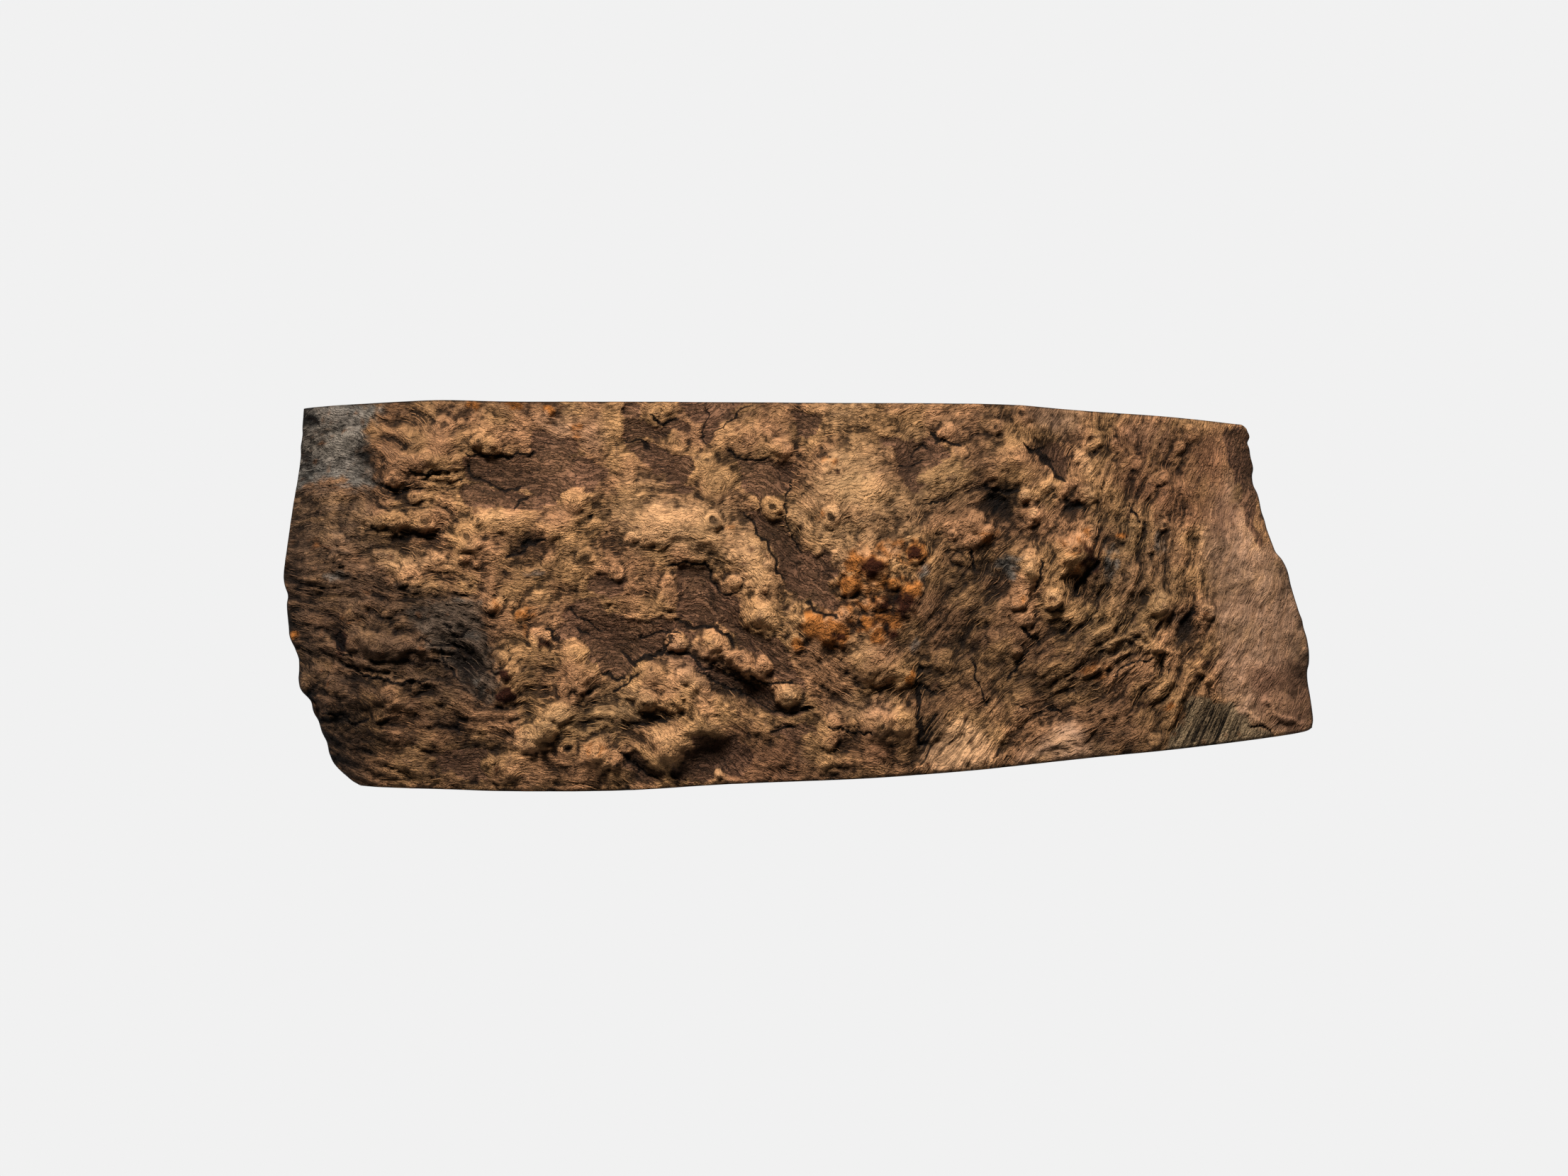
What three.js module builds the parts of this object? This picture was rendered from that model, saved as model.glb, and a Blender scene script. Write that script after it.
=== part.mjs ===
// A briar plateau block: a slab sawn from the burl of a tree heath.
// One long face is the natural outside of the burl, with its lobes, knots, valleys and pits.
// The back and the two long sides are sawn, and both ends are left rough.
// Millimetres, lying on the sawn back: +X along the block, +Y across it, +Z up out of the rough face.
import * as THREE from "three";
import { ImprovedNoise } from "three/addons/math/ImprovedNoise.js";
import { mergeVertices } from "three/addons/utils/BufferGeometryUtils.js";

// Driving sizes of the block.
const CROWN_HEIGHT = 38; // the rough face above the back, at its highest swell
const CROWN_CENTRE = 6; // where along X the face is highest
const HALF_LENGTH = 95;
const HALF_WIDTH = 36;
const LENGTH_DROP = 7.5; // how far the face falls from its crown to the ends
const WIDTH_DROP = 3; // how far it falls from the middle to the sawn sides
const LEFT_ROLL = { drop: 8, reach: 6.5 }; // the rounding down to the rough left end
const RIGHT_ROLL = { drop: 4.5, reach: 5 };
const LEAST_HEIGHT = 12;

// Steps of the mesh.
const STEPS_ALONG = 97;
const STEPS_ACROSS = 36;
const WALL_ROWS = 5;

// The rough ends below the rim: how far they draw in towards the back, and how uneven they are.
const END_ZONE = { from: 77, to: 85 }; // distance from the middle where a sawn side turns into an end
const END_TAPER = 2.2;
const END_ROUGHNESS = { depth: 1.5, length: 6 };

// Small unevenness of the natural face: waves of two lengths.
const LONG_WAVE = { length: 8, height: 0.75 };
const SHORT_WAVE = { length: 3.6, height: 0.4 };

// The outline seen from above. Each side is a smooth curve through its points, and they meet at four corners.
const FAR_SIDE = [
  [-91.4, 34.3], [-90.4, 34.7], [-80, 35.3], [-66, 36], [-52, 35.6], [-24, 35.5],
  [4, 35.3], [28, 35.2], [40, 34.9], [52, 33.9], [68, 32.8], [80, 31.6], [81.8, 31.4], [82.7, 30.7],
];
const NEAR_SIDE = [
  [-84, -33], [-81.6, -34.7], [-78.6, -35.3], [-64, -35.7], [-52, -36], [-32, -35.8],
  [-12, -34.6], [12, -33.6], [32, -32.1], [52, -30], [72, -28], [88, -26], [93.4, -25.1], [94.8, -24.4],
];
const LEFT_END = [
  [-84, -33], [-86.2, -30.2], [-87.1, -27.2], [-88.3, -24.2], [-89.6, -20.8], [-90.3, -18.5], [-91.8, -17.4],
  [-92.2, -15], [-92, -12.4], [-93.1, -8.9], [-94.2, -7], [-94.4, -2.6], [-93.9, -0.6], [-95, 3.2],
  [-94.3, 8], [-93.3, 15.4], [-92.2, 22], [-91.9, 26], [-91.4, 28.6], [-91.7, 31.4], [-91.4, 34.3],
];
const RIGHT_END = [
  [94.8, -24.4], [95, -22.6], [94.1, -17], [93.8, -14.2], [94.2, -11.4], [93.8, -8.4], [92.8, -4.8],
  [91.6, -1.2], [90.6, 3], [89.6, 6], [87.8, 8], [86.4, 11.6], [85.8, 14.8], [84.2, 19.4],
  [83.8, 22], [84.1, 23.8], [83.3, 26.8], [82.9, 28.3], [83.3, 29.4], [82.7, 30.7],
];

// Broad swells and hollows of the face: place, half length, half width, turn in degrees, rise.
const SWELLS = [
  // Along the far side, left to right.
  [-81.5, 29, 5, 4.4, 0, 1.4], [-66.5, 24.5, 8.5, 7, -10, 2.6], [-74, 21.8, 4, 3.2, 0, 1.2],
  [-64, 31.6, 5, 2.4, -5, 1.2], [-57.5, 28.8, 7, 3, -8, 1.6], [-52, 21.5, 12, 5, 0, -1.8],
  [-41, 17.8, 4, 3, 0, 1.6], [-38, 30.5, 9, 6, 0, 1.2], [-26, 29, 8, 4, -10, -1.4],
  [-25, 33.8, 4, 3, 0, 1], [-8, 29.2, 8, 3.6, -6, 1.6], [-14.6, 20.4, 6, 3.8, -8, 1.8],
  [-16.8, 25, 4, 2.6, 0, 1], [-2, 22, 7, 5, 0, -1.6], [20.5, 25.5, 6, 3.4, 10, -1.4],
  [27, 22, 6.5, 4, 0, 1.6], [40.5, 25, 6, 4.6, 0, 2], [46.6, 25.5, 2.6, 5, 20, -1.6],
  [70, 25, 9, 6, 0, -1], [82, 24, 3, 7, 10, -1.4],
  // The middle band.
  [-75.5, 14.2, 5, 3, -20, 2.4], [-68.5, 14, 4.6, 3.2, 0, 2.6], [-60.5, 11.2, 7, 3.6, -12, 2.2],
  [-54, 15, 12, 3.2, 0, 1.4], [-44, 12, 8, 5, 0, 2], [-49, 8.2, 4.5, 3.4, 20, -2],
  [-40, 6.6, 4.6, 3.6, 0, 1.6], [-73, 6, 14, 3, -4, 0.9], [-22, 12.5, 15, 8, -4, 3],
  [-33.5, 10.5, 3.6, 5, 0, -1.2], [-8, 6, 7, 8, 20, 2.2], [-2.5, 10, 3.4, 12, 12, -2.2],
  [9, 19.5, 13, 11, 0, 3], [12.5, 6.5, 9, 7, 0, 2.4], [36.5, 16.5, 5, 4, 0, -2.8],
  [33, 12, 3.6, 5.4, 15, 2.2], [42.5, 5, 3.2, 5.6, 15, 2.2], [36, 4, 5, 7, 0, -1.6],
  [51, 8, 7, 6.5, 0, 3.2], [50.5, 17, 4, 2.4, -20, -2.2], [53.5, 20, 2.6, 4.4, 20, 2.2],
  [48, 20.5, 3, 2.6, 0, 1.4], [58, 10.2, 3.4, 1.8, -25, -2.4], [84, 8, 7, 12, 10, 1.2],
  [67.8, -1.6, 3.8, 4.4, 0, 2], [75.3, -3, 2, 3.2, 10, 1.2], [72, -7, 3.4, 5, 0, -2.4],
  [65, -9.5, 7.5, 2, 15, 1.6], [64, -12.2, 6.5, 1.6, 10, -1.6],
  // The near band, left to right.
  [-76, -9.5, 11, 4.6, -5, 1.8], [-84, -9, 3, 2.6, 0, -1.6], [-74.5, -19, 5, 4, 0, 2.2],
  [-86, -20.8, 4, 2.6, 0, 1.4], [-82, -23.2, 6, 2.2, 0, -2.4], [-72, -27.5, 9, 3, -5, 1.2],
  [-60, -12.5, 6, 6.5, 0, -1.8], [-62.5, -24.6, 4.6, 2.8, -20, -2.4], [-61, -32, 6, 3, -10, -1.6],
  [-51.5, -15.5, 6.5, 5.5, 0, 1.8], [-47, -9, 4, 4, 0, 1.4], [-41.2, -10.8, 4.4, 3.6, 0, 1.8],
  [-39.6, -15, 5, 3.6, 10, 2], [-44, -22, 6.5, 4.6, 0, 2.4], [-49, -26, 7.5, 4.4, 0, 2.2],
  [-46, -33, 13, 3, 0, 1.4], [-37.5, -28.6, 5.2, 3.4, -8, 2.2], [-34, -31, 4.6, 3.6, 0, 2],
  [-30, -30.5, 6, 1.8, -45, -1.6], [-33, -8.5, 10, 6, -20, -1.8], [-27, -14.5, 5.6, 4.4, -20, 2.2],
  [-28.5, -19, 5.5, 4, 0, 2], [-22, -19.2, 5, 3.6, 0, 1.8], [-19.5, -15.5, 5, 4.2, -20, 2.2],
  [-16, -22.6, 6, 4.6, 25, 2.4], [-23.5, -27.5, 8, 6, 30, 3.4], [-15.5, -29.5, 7.5, 4.2, 10, -2.6],
  [-10, -7, 15, 3.4, -38, -1.8], [-9, -17.5, 13, 2.6, -27, -2], [-7, -3.6, 6.4, 4.6, -30, 2.2],
  [5.5, -6, 6.5, 4.6, -25, 2.2], [15, -13, 8.5, 7, 0, 2.6], [16, -23.5, 8.5, 5.6, 10, 2.6],
  [30, -10, 9, 10, 0, -1.8], [26.5, -11.5, 4, 3.6, 0, 1.2], [38, -7, 5, 4, 0, 1.2],
  [32, -28, 9, 5, 0, 1.6], [47.5, -1.2, 3.6, 3.6, 0, 2], [42, -1.4, 3, 3.4, 0, 1.6],
  [48, -6, 3.4, 2.4, 0, -2], [52, -18, 13, 8, 25, -1.2], [50, -27, 7, 3.6, -10, 1.4],
  [62, -15.5, 8, 3, 0, 1.2], [66, -26.5, 2.2, 2.8, 0, 1.2], [76, -23.5, 8, 6, 0, -1],
];

// Knots, the burl's buds: place, radius, rise.
const KNOTS = [
  // Far side.
  [-82, 28.6, 2.4, 1], [-67.2, 25.5, 2.8, 0.8], [-74, 21.6, 2, 0.8], [-63.8, 31, 2.2, 0.8],
  [-58.2, 28.6, 1.8, 0.8], [-55, 28, 1.8, 0.8], [-46.5, 33.6, 1.4, 0.6], [-40.8, 17.2, 2.2, 1.2],
  [-24.8, 34, 1.8, 0.6], [-22.4, 27.4, 1.6, 0.6], [-16.6, 25.2, 1.8, 0.7], [-14.3, 20, 2.6, 1.1],
  [-6.8, 28.6, 2.6, 0.9], [-3.9, 16.2, 2.2, 1.3], [-1.6, 27.6, 2.4, 0.8], [7, 22.8, 1.4, 0.6],
  [11.2, 25.2, 1.3, 0.5], [26.4, 30.6, 1.8, 0.8], [29.6, 26.6, 1.6, 0.7], [36.4, 31.2, 2, 0.9],
  [41.2, 33.2, 2.4, 1], [40.6, 24.6, 2.6, 1.2], [41, 18.6, 1.8, 1.2], [53, 21.6, 1.8, 0.9],
  [48.2, 19.8, 1.8, 0.9], [54, 28.2, 1.8, 0.7], [66.2, 22, 1.4, 0.7], [72.6, 30, 1.8, 0.6],
  // Middle.
  [-76.8, 13.2, 1.8, 1.1], [-73.2, 12.9, 1.6, 1], [-69, 13.2, 1.8, 1.2], [-66.8, 13.6, 1.4, 0.8],
  [-59.8, 10.4, 2, 1], [-66, 6.8, 1.7, 0.9], [-61.5, 6.7, 1.4, 0.8], [-71, 3.2, 2.2, 1],
  [-86, 7, 1.5, 0.8], [-84, 11.2, 1.8, 0.8], [-39.4, 6.8, 2, 1], [-46, 6, 1.6, 0.8],
  [-15.2, 13.4, 2.2, 1.2], [-20.4, 13.4, 1.4, 0.7], [-29.8, 9.8, 1.4, 0.6], [-25, 8.6, 1.4, 0.6],
  [-12, 8, 1.8, 0.8], [-5.2, 5.4, 1.5, 0.8], [-12.3, 2.2, 2, 1.1], [-5, 1.8, 1.8, 0.7],
  [-24.2, 2.6, 1.9, 1], [-24.2, -1, 2.3, 1.1], [-32.4, 4.2, 2, 0.8], [6.2, 14, 2.4, 1.3],
  [13.6, 5, 2.9, 1.6], [21.2, 7.8, 2.3, 1.5], [19, 10.4, 1.6, 0.8], [9.2, 1.2, 2.4, 1.4],
  [17.5, 2, 2, 1], [20.2, -0.4, 2.2, 1.3], [15, -2.2, 2.2, 1.1], [12.9, -4.7, 1.8, 1],
  [9, -2.7, 1.8, 1.1], [14.6, -7.5, 1.9, 1.1], [3.2, -4.6, 2.6, 1.2], [7, -6.4, 3, 1.3],
  [43.3, 15.2, 2.1, 1.4], [32, 14, 2, 1], [34.6, 11.4, 1.9, 1], [31.4, 9.2, 1.6, 0.8],
  [28.2, 9.2, 1.6, 0.9], [42.4, 6.8, 2.2, 1], [42.2, 3.4, 2.4, 1.3], [50.6, 7.6, 2.2, 1],
  [53.4, 11, 1.6, 0.8], [53.8, 17.6, 1.8, 1.2], [47.4, -0.8, 2.4, 1.3], [41.8, -0.6, 1.9, 1],
  [42.6, -4.6, 1.7, 0.9], [67.6, -1.4, 2.4, 1.2], [67.3, 13, 1.3, 0.8],
  // Near side.
  [-53.6, -14.8, 2.4, 1.2], [-53.8, -18.8, 2.6, 1.6], [-50.8, -2.4, 1.8, 0.8], [-55.4, -2.6, 1.8, 0.9],
  [-46.4, -8, 2.2, 1.1], [-40.2, -10.6, 2.2, 1.1], [-39.4, -14.4, 2.6, 1.2], [-42.4, -17.6, 2, 1],
  [-43.4, -21.6, 2.6, 1.3], [-44.6, -25.2, 2, 0.9], [-48.6, -26, 2.6, 1.1], [-37.6, -28.2, 2.4, 1.2],
  [-33.2, -30.6, 2.1, 1.2], [-55.2, -32.2, 2.4, 1], [-75, -18.4, 2.4, 1.1], [-76.8, -22, 1.8, 0.9],
  [-86.6, -20.6, 2.2, 1.1], [-85, -16.2, 1.8, 1.1], [-87.6, -13.8, 1.7, 0.9], [-91, -15.4, 2, 1],
  [-81.8, -3.9, 1.6, 0.9], [-75.6, -3.2, 1.8, 0.9], [-69.6, -7.4, 1.4, 0.8], [-69.4, -10, 1.3, 0.8],
  [-15, -8.9, 3.2, 1.9], [-21.8, -8.9, 2.2, 1.5], [-10.6, -12.4, 2.6, 1.6], [-6.1, -12.9, 2, 1.3],
  [-26.2, -13.8, 2.4, 1.2], [-20, -14.8, 2.2, 1.1], [-17.2, -16.8, 1.8, 1], [-28.4, -18.9, 2, 1],
  [-22.8, -18.8, 1.9, 1], [-15.6, -22.2, 2.6, 1], [-22.8, -28.2, 3, 1.4], [-1.4, -18.4, 2.5, 1.6],
  [0.6, -8.6, 1.9, 0.9], [15.2, -12.2, 3.2, 1.2], [21, -14.8, 1.7, 1.1], [15.6, -23.4, 2.6, 1.1],
  [20.6, -21.6, 2, 1], [6.4, -22.8, 1.6, 0.7], [6, -27, 1.6, 0.7], [39.8, -10.4, 1.8, 0.8],
  [26.6, -12, 2.2, 0.7], [65.8, -26.4, 1.6, 0.8],
];

// Crevices and the dark steps under the lobes: grooves along a line, with a rounded floor.
const CREVICES = [
  { depth: 2.2, halfWidth: 2.3, points: [[-79, 11], [-74, 10.2], [-69, 10.4], [-64.5, 11.4], [-61.5, 13]] },
  { depth: 1.7, halfWidth: 2, points: [[-61, 23.6], [-59.6, 21.2], [-55, 20.2], [-51, 19.8], [-49.6, 18]] },
  { depth: 1.4, halfWidth: 2, points: [[-60, 26.2], [-53, 25.8], [-48, 26.6]] },
  { depth: 1.3, halfWidth: 1.9, points: [[-76.5, 20.4], [-74, 19.5], [-71, 19.2]] },
  { depth: 1.7, halfWidth: 2, points: [[44.2, 27], [45.2, 25], [47.2, 22.2], [49, 21.4]] },
  { depth: 1.7, halfWidth: 2, points: [[33.6, 19.9], [38.5, 18.9], [40.4, 19.4]] },
  { depth: 2.3, halfWidth: 2, points: [[22, -12], [22.3, -16], [21.6, -18.5], [22.2, -23], [23.4, -27]] },
  {
    depth: 1.9,
    halfWidth: 2,
    points: [[-24, -10.6], [-20, -11], [-15.5, -13], [-10, -16.2], [-7, -19.2], [-4.5, -21.5], [0.5, -21.4]],
  },
  { depth: 1.6, halfWidth: 2, points: [[-22, -4], [-17, -5.7], [-12, -8.5]] },
  { depth: 1.6, halfWidth: 1.9, points: [[-31.5, -10], [-30, -12], [-26.5, -10.9], [-23.6, -8]] },
  { depth: 1.5, halfWidth: 1.9, points: [[-31.5, -23.2], [-27, -23], [-24, -23]] },
  { depth: 1.4, halfWidth: 1.9, points: [[-42, -2.5], [-38, -5], [-36, -6.4]] },
  { depth: 1.8, halfWidth: 2, points: [[58, -15], [60, -13], [62.5, -12], [65.5, -11.5]] },
  { depth: 1.7, halfWidth: 2, points: [[54, 5.8], [52.4, 3], [51, 0]] },
  { depth: 1.5, halfWidth: 2, points: [[42, -10], [40.2, -13.8], [38.4, -15.6]] },
  { depth: 1.5, halfWidth: 2, points: [[-24, 5.8], [-17, 5.2], [-14.8, 2], [-11.5, 0.2]] },
  { depth: 1.5, halfWidth: 2, points: [[-33, -28.5], [-30.5, -30.5], [-26.5, -33.3]] },
  { depth: 1.8, halfWidth: 2.2, points: [[-83.5, -13.2], [-79, -15], [-72, -16.2], [-67.6, -15.6]] },
  { depth: 1.4, halfWidth: 1.9, points: [[18.2, 24], [21, 23.8], [22.6, 24.8]] },
  { depth: 1.5, halfWidth: 2, points: [[-8.8, 14.4], [-5.4, 11.6], [-3.4, 7.4], [-2.4, 2.6]] },
];

const noise = new ImprovedNoise();

// A soft round hump: 1 in the middle and 0 from the rim outwards, where share is the squared distance over the
// squared radius.
function hump(share) {
  return share < 1 ? (1 - share) ** 2 : 0;
}

function swellRise(x, y) {
  let rise = 0;
  for (const [cx, cy, halfLong, halfWide, turn, height] of SWELLS) {
    const angle = THREE.MathUtils.degToRad(turn);
    const along = (x - cx) * Math.cos(angle) + (y - cy) * Math.sin(angle);
    const across = (y - cy) * Math.cos(angle) - (x - cx) * Math.sin(angle);
    rise += height * hump((along / halfLong) ** 2 + (across / halfWide) ** 2);
  }
  return rise;
}

function knotRise(x, y) {
  let rise = 0;
  for (const [cx, cy, radius, height] of KNOTS) {
    rise += height * hump(((x - cx) ** 2 + (y - cy) ** 2) / radius ** 2);
  }
  return rise;
}

function distanceToLine(x, y, points) {
  const here = new THREE.Vector3(x, y, 0);
  const nearest = new THREE.Vector3();
  let distance = Infinity;
  for (let k = 0; k + 1 < points.length; k++) {
    const from = new THREE.Vector3(...points[k], 0);
    const to = new THREE.Vector3(...points[k + 1], 0);
    new THREE.Line3(from, to).closestPointToPoint(here, true, nearest);
    distance = Math.min(distance, nearest.distanceTo(here));
  }
  return distance;
}

function creviceFall(x, y) {
  let fall = 0;
  for (const { depth, halfWidth, points } of CREVICES) {
    fall += depth * hump((distanceToLine(x, y, points) / halfWidth) ** 2);
  }
  return fall;
}

function waveRise(x, y) {
  const long = noise.noise(x / LONG_WAVE.length, y / LONG_WAVE.length, 0);
  const short = noise.noise(x / SHORT_WAVE.length, y / SHORT_WAVE.length, 7);
  return long * LONG_WAVE.height + short * SHORT_WAVE.height;
}

// Height of the rough face above the sawn back, where fromLeft and fromRight are distances to the rough ends.
function faceHeight(x, y, fromLeft, fromRight) {
  const lengthShare = (x - CROWN_CENTRE) / HALF_LENGTH;
  const widthShare = y / HALF_WIDTH;
  const crown = CROWN_HEIGHT - LENGTH_DROP * lengthShare ** 2 - WIDTH_DROP * widthShare ** 2;
  const roll =
    LEFT_ROLL.drop * Math.exp(-fromLeft / LEFT_ROLL.reach) +
    RIGHT_ROLL.drop * Math.exp(-fromRight / RIGHT_ROLL.reach);
  const relief = swellRise(x, y) + knotRise(x, y) + waveRise(x, y) - creviceFall(x, y);
  return Math.max(LEAST_HEIGHT, crown - roll + relief);
}

function curveThrough(points) {
  return new THREE.SplineCurve(points.map(([x, y]) => new THREE.Vector2(x, y)));
}

// Evenly spaced points along one side of the outline.
function sideSteps(points, steps) {
  return curveThrough(points).getSpacedPoints(steps);
}

// The grid of the rough face: the four sides blended across the block (a Coons patch), each point raised to the face.
function faceGrid() {
  const far = sideSteps(FAR_SIDE, STEPS_ALONG);
  const near = sideSteps(NEAR_SIDE, STEPS_ALONG);
  const left = sideSteps(LEFT_END, STEPS_ACROSS);
  const right = sideSteps(RIGHT_END, STEPS_ACROSS);
  const last = { along: STEPS_ALONG, across: STEPS_ACROSS };
  const blend = (axis, i, j) => {
    const u = i / last.along;
    const v = j / last.across;
    const sides = (1 - v) * near[i][axis] + v * far[i][axis] + (1 - u) * left[j][axis] + u * right[j][axis];
    const corners =
      (1 - v) * ((1 - u) * near[0][axis] + u * near[last.along][axis]) +
      v * ((1 - u) * far[0][axis] + u * far[last.along][axis]);
    return sides - corners;
  };
  const rows = [];
  for (let j = 0; j <= last.across; j++) {
    const row = [];
    for (let i = 0; i <= last.along; i++) {
      const x = blend("x", i, j);
      const y = blend("y", i, j);
      row.push(new THREE.Vector3(x, y, faceHeight(x, y, x - left[j].x, right[j].x - x)));
    }
    rows.push(row);
  }
  return rows;
}

// The rim of the grid as one ring, anticlockwise from above.
function rimOf(rows) {
  const top = rows.length - 1;
  const end = rows[0].length - 1;
  const near = rows[0].slice(0, end);
  const right = rows.slice(0, top).map((row) => row[end]);
  const far = rows[top].slice(1).reverse();
  const left = rows.slice(1).map((row) => row[0]).reverse();
  return [...near, ...right, ...far, ...left];
}

// A rim point carried down the wall, where depth is 0 at the rim and 1 at the back.
// The sawn sides drop straight, and the rough ends draw in unevenly.
function wallPoint(point, depth) {
  const endness = THREE.MathUtils.smoothstep(Math.abs(point.x), END_ZONE.from, END_ZONE.to);
  const z = point.z * (1 - depth);
  const { depth: roughness, length } = END_ROUGHNESS;
  const uneven = 0.5 + noise.noise(point.y / length, z / length, point.x > 0 ? 3.5 : 11.5);
  const inset = endness * (END_TAPER * depth + roughness * uneven * Math.min(1, 3 * depth));
  return new THREE.Vector3(point.x - Math.sign(point.x) * inset, point.y, z);
}

function blockGeometry() {
  const rows = faceGrid();
  const corners = [];
  const addTriangle = (a, b, c) => corners.push(a, b, c);
  const addQuad = (a, b, c, d) => {
    addTriangle(a, b, c);
    addTriangle(a, c, d);
  };
  for (let j = 0; j + 1 < rows.length; j++) {
    for (let i = 0; i + 1 < rows[j].length; i++) {
      addQuad(rows[j][i], rows[j][i + 1], rows[j + 1][i + 1], rows[j + 1][i]);
    }
  }
  const rim = rimOf(rows);
  const rings = [];
  for (let row = 0; row <= WALL_ROWS; row++) {
    rings.push(rim.map((point) => wallPoint(point, row / WALL_ROWS)));
  }
  for (let row = 0; row < WALL_ROWS; row++) {
    for (let k = 0; k < rim.length; k++) {
      const next = (k + 1) % rim.length;
      addQuad(rings[row][k], rings[row + 1][k], rings[row + 1][next], rings[row][next]);
    }
  }
  const back = rings[WALL_ROWS];
  const flat = back.map((point) => new THREE.Vector2(point.x, point.y));
  for (const [a, b, c] of THREE.ShapeUtils.triangulateShape(flat, [])) {
    addTriangle(back[c], back[b], back[a]);
  }
  const geometry = mergeVertices(new THREE.BufferGeometry().setFromPoints(corners), 1e-4);
  geometry.computeBoundingBox();
  const middle = geometry.boundingBox.getCenter(new THREE.Vector3());
  geometry.translate(-middle.x, -middle.y, -geometry.boundingBox.min.z);
  geometry.computeVertexNormals();
  return geometry;
}

const briarWood = new THREE.MeshStandardMaterial({ color: 0x8a6347, roughness: 0.85, metalness: 0 });

const block = new THREE.Mesh(blockGeometry(), briarWood);
block.name = "briar_block";

const model = new THREE.Group();
model.add(block);

export default model;
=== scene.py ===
# %% [markdown]
# # A briar plateau block
#
# Briar is the burl of the tree heath. A plateau block is sawn so that one face keeps the outside of the
# burl: pale fibrous wood full of pip knots, with purple-brown bark left in the valleys between its lobes.
# The back and the two long sides are sawn, and the ends are rough.
#
# The solid with the real sizes is loaded first, and nothing here moves it. Everything below is worked out
# in millimetres in the same place, and turned into metres when a mesh is made.

# %% Load the solid
import math

import bpy
import numpy as np
from mathutils.bvhtree import BVHTree
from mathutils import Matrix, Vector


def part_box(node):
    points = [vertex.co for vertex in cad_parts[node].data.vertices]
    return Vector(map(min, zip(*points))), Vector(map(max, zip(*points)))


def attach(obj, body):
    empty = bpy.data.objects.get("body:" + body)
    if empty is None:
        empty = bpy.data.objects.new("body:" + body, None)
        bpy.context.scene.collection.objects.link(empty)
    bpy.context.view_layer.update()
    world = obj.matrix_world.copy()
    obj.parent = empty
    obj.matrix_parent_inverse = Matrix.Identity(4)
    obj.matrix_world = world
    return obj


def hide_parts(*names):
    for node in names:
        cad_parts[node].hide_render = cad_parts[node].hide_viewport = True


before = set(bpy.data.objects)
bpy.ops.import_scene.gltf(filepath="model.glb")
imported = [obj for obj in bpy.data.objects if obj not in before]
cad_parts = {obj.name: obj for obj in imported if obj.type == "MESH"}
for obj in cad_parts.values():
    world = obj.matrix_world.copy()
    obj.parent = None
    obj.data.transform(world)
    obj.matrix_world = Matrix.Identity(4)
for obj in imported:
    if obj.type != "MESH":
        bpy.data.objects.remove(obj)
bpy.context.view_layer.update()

MM = 0.001
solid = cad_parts["briar_block"]
low, high = (np.array(corner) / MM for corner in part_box("briar_block"))
print("solid, mm:", (high - low).round(1))

# %% [markdown]
# ## The camera
#
# The photograph looks square onto the rough face from far away, with the far sawn side at the top. A long
# lens well above the block gives the same nearly parallel view. The picture is 2212 pixels wide and 0.13 mm
# of the block fits in each of them, which gives the lens.

# %% The camera
PICTURE_WIDTH = 2212
MM_PER_PIXEL = 0.13
PICTURE_CENTRE = (-2.5, 1.4)
CAMERA_RISE = 1500
SENSOR_WIDTH = 36
RIM_HEIGHT = 34

camera_data = bpy.data.cameras.new("camera")
camera_data.sensor_width = SENSOR_WIDTH
camera_data.lens = SENSOR_WIDTH * CAMERA_RISE / (PICTURE_WIDTH * MM_PER_PIXEL)
camera = bpy.data.objects.new("camera", camera_data)
camera.location = (PICTURE_CENTRE[0] * MM, PICTURE_CENTRE[1] * MM, (RIM_HEIGHT + CAMERA_RISE) * MM)
bpy.context.collection.objects.link(camera)
bpy.context.scene.camera = camera
print("lens, mm:", round(camera_data.lens, 1))

# %% [markdown]
# ## Soft random hills
#
# Wood is never even, so most steps below need some seeded unevenness. This is gradient noise for any number
# of coordinates: every corner of a cell gets a fixed random slope, and the slopes are faded into each
# other.

# %% Soft random hills
SLOPES = 4096
CORNER_PRIMES = (73856093, 19349663, 83492791)
HILL_HEIGHT = 1.6


def hills(spacing, seed, *axes):
    """Soft random hills between about -1 and 1, this far apart, over the given coordinates."""
    slopes = np.random.default_rng(seed).normal(size=(SLOPES, len(axes)))
    slopes /= np.linalg.norm(slopes, axis=1, keepdims=True)
    place = np.stack(np.broadcast_arrays(*axes)) / spacing
    cell = np.floor(place).astype(np.int64)
    inside = place - cell
    fade = inside**3 * (inside * (inside * 6 - 15) + 10)
    total = 0
    for corner in np.ndindex(*[2] * len(axes)):
        key = 0
        weight = 1
        for axis, step in enumerate(corner):
            key = key ^ ((cell[axis] + step) * CORNER_PRIMES[axis])
            weight = weight * (fade[axis] if step else 1 - fade[axis])
        slope = slopes[key % SLOPES]
        rises = (slope[..., axis] * (inside[axis] - step) for axis, step in enumerate(corner))
        total = total + weight * sum(rises)
    return total * HILL_HEIGHT


def layered(layers, *axes):
    """Several soft random hills added up. Each layer is a spacing, a height and a seed."""
    return sum(rise * hills(spacing, seed, *axes) for spacing, rise, seed in layers)


def blur(values, cells):
    """The values averaged with their neighbours on the grid, this many cells round each."""
    reach = int(3 * cells)
    weights = np.exp(-0.5 * (np.arange(-reach, reach + 1) / cells) ** 2)
    weights /= weights.sum()
    for axis in (0, 1):
        padding = [(reach, reach) if axis == k else (0, 0) for k in (0, 1)]
        padded = np.pad(values, padding, mode="edge")
        values = np.apply_along_axis(np.convolve, axis, padded, weights, mode="valid")
    return values


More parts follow.
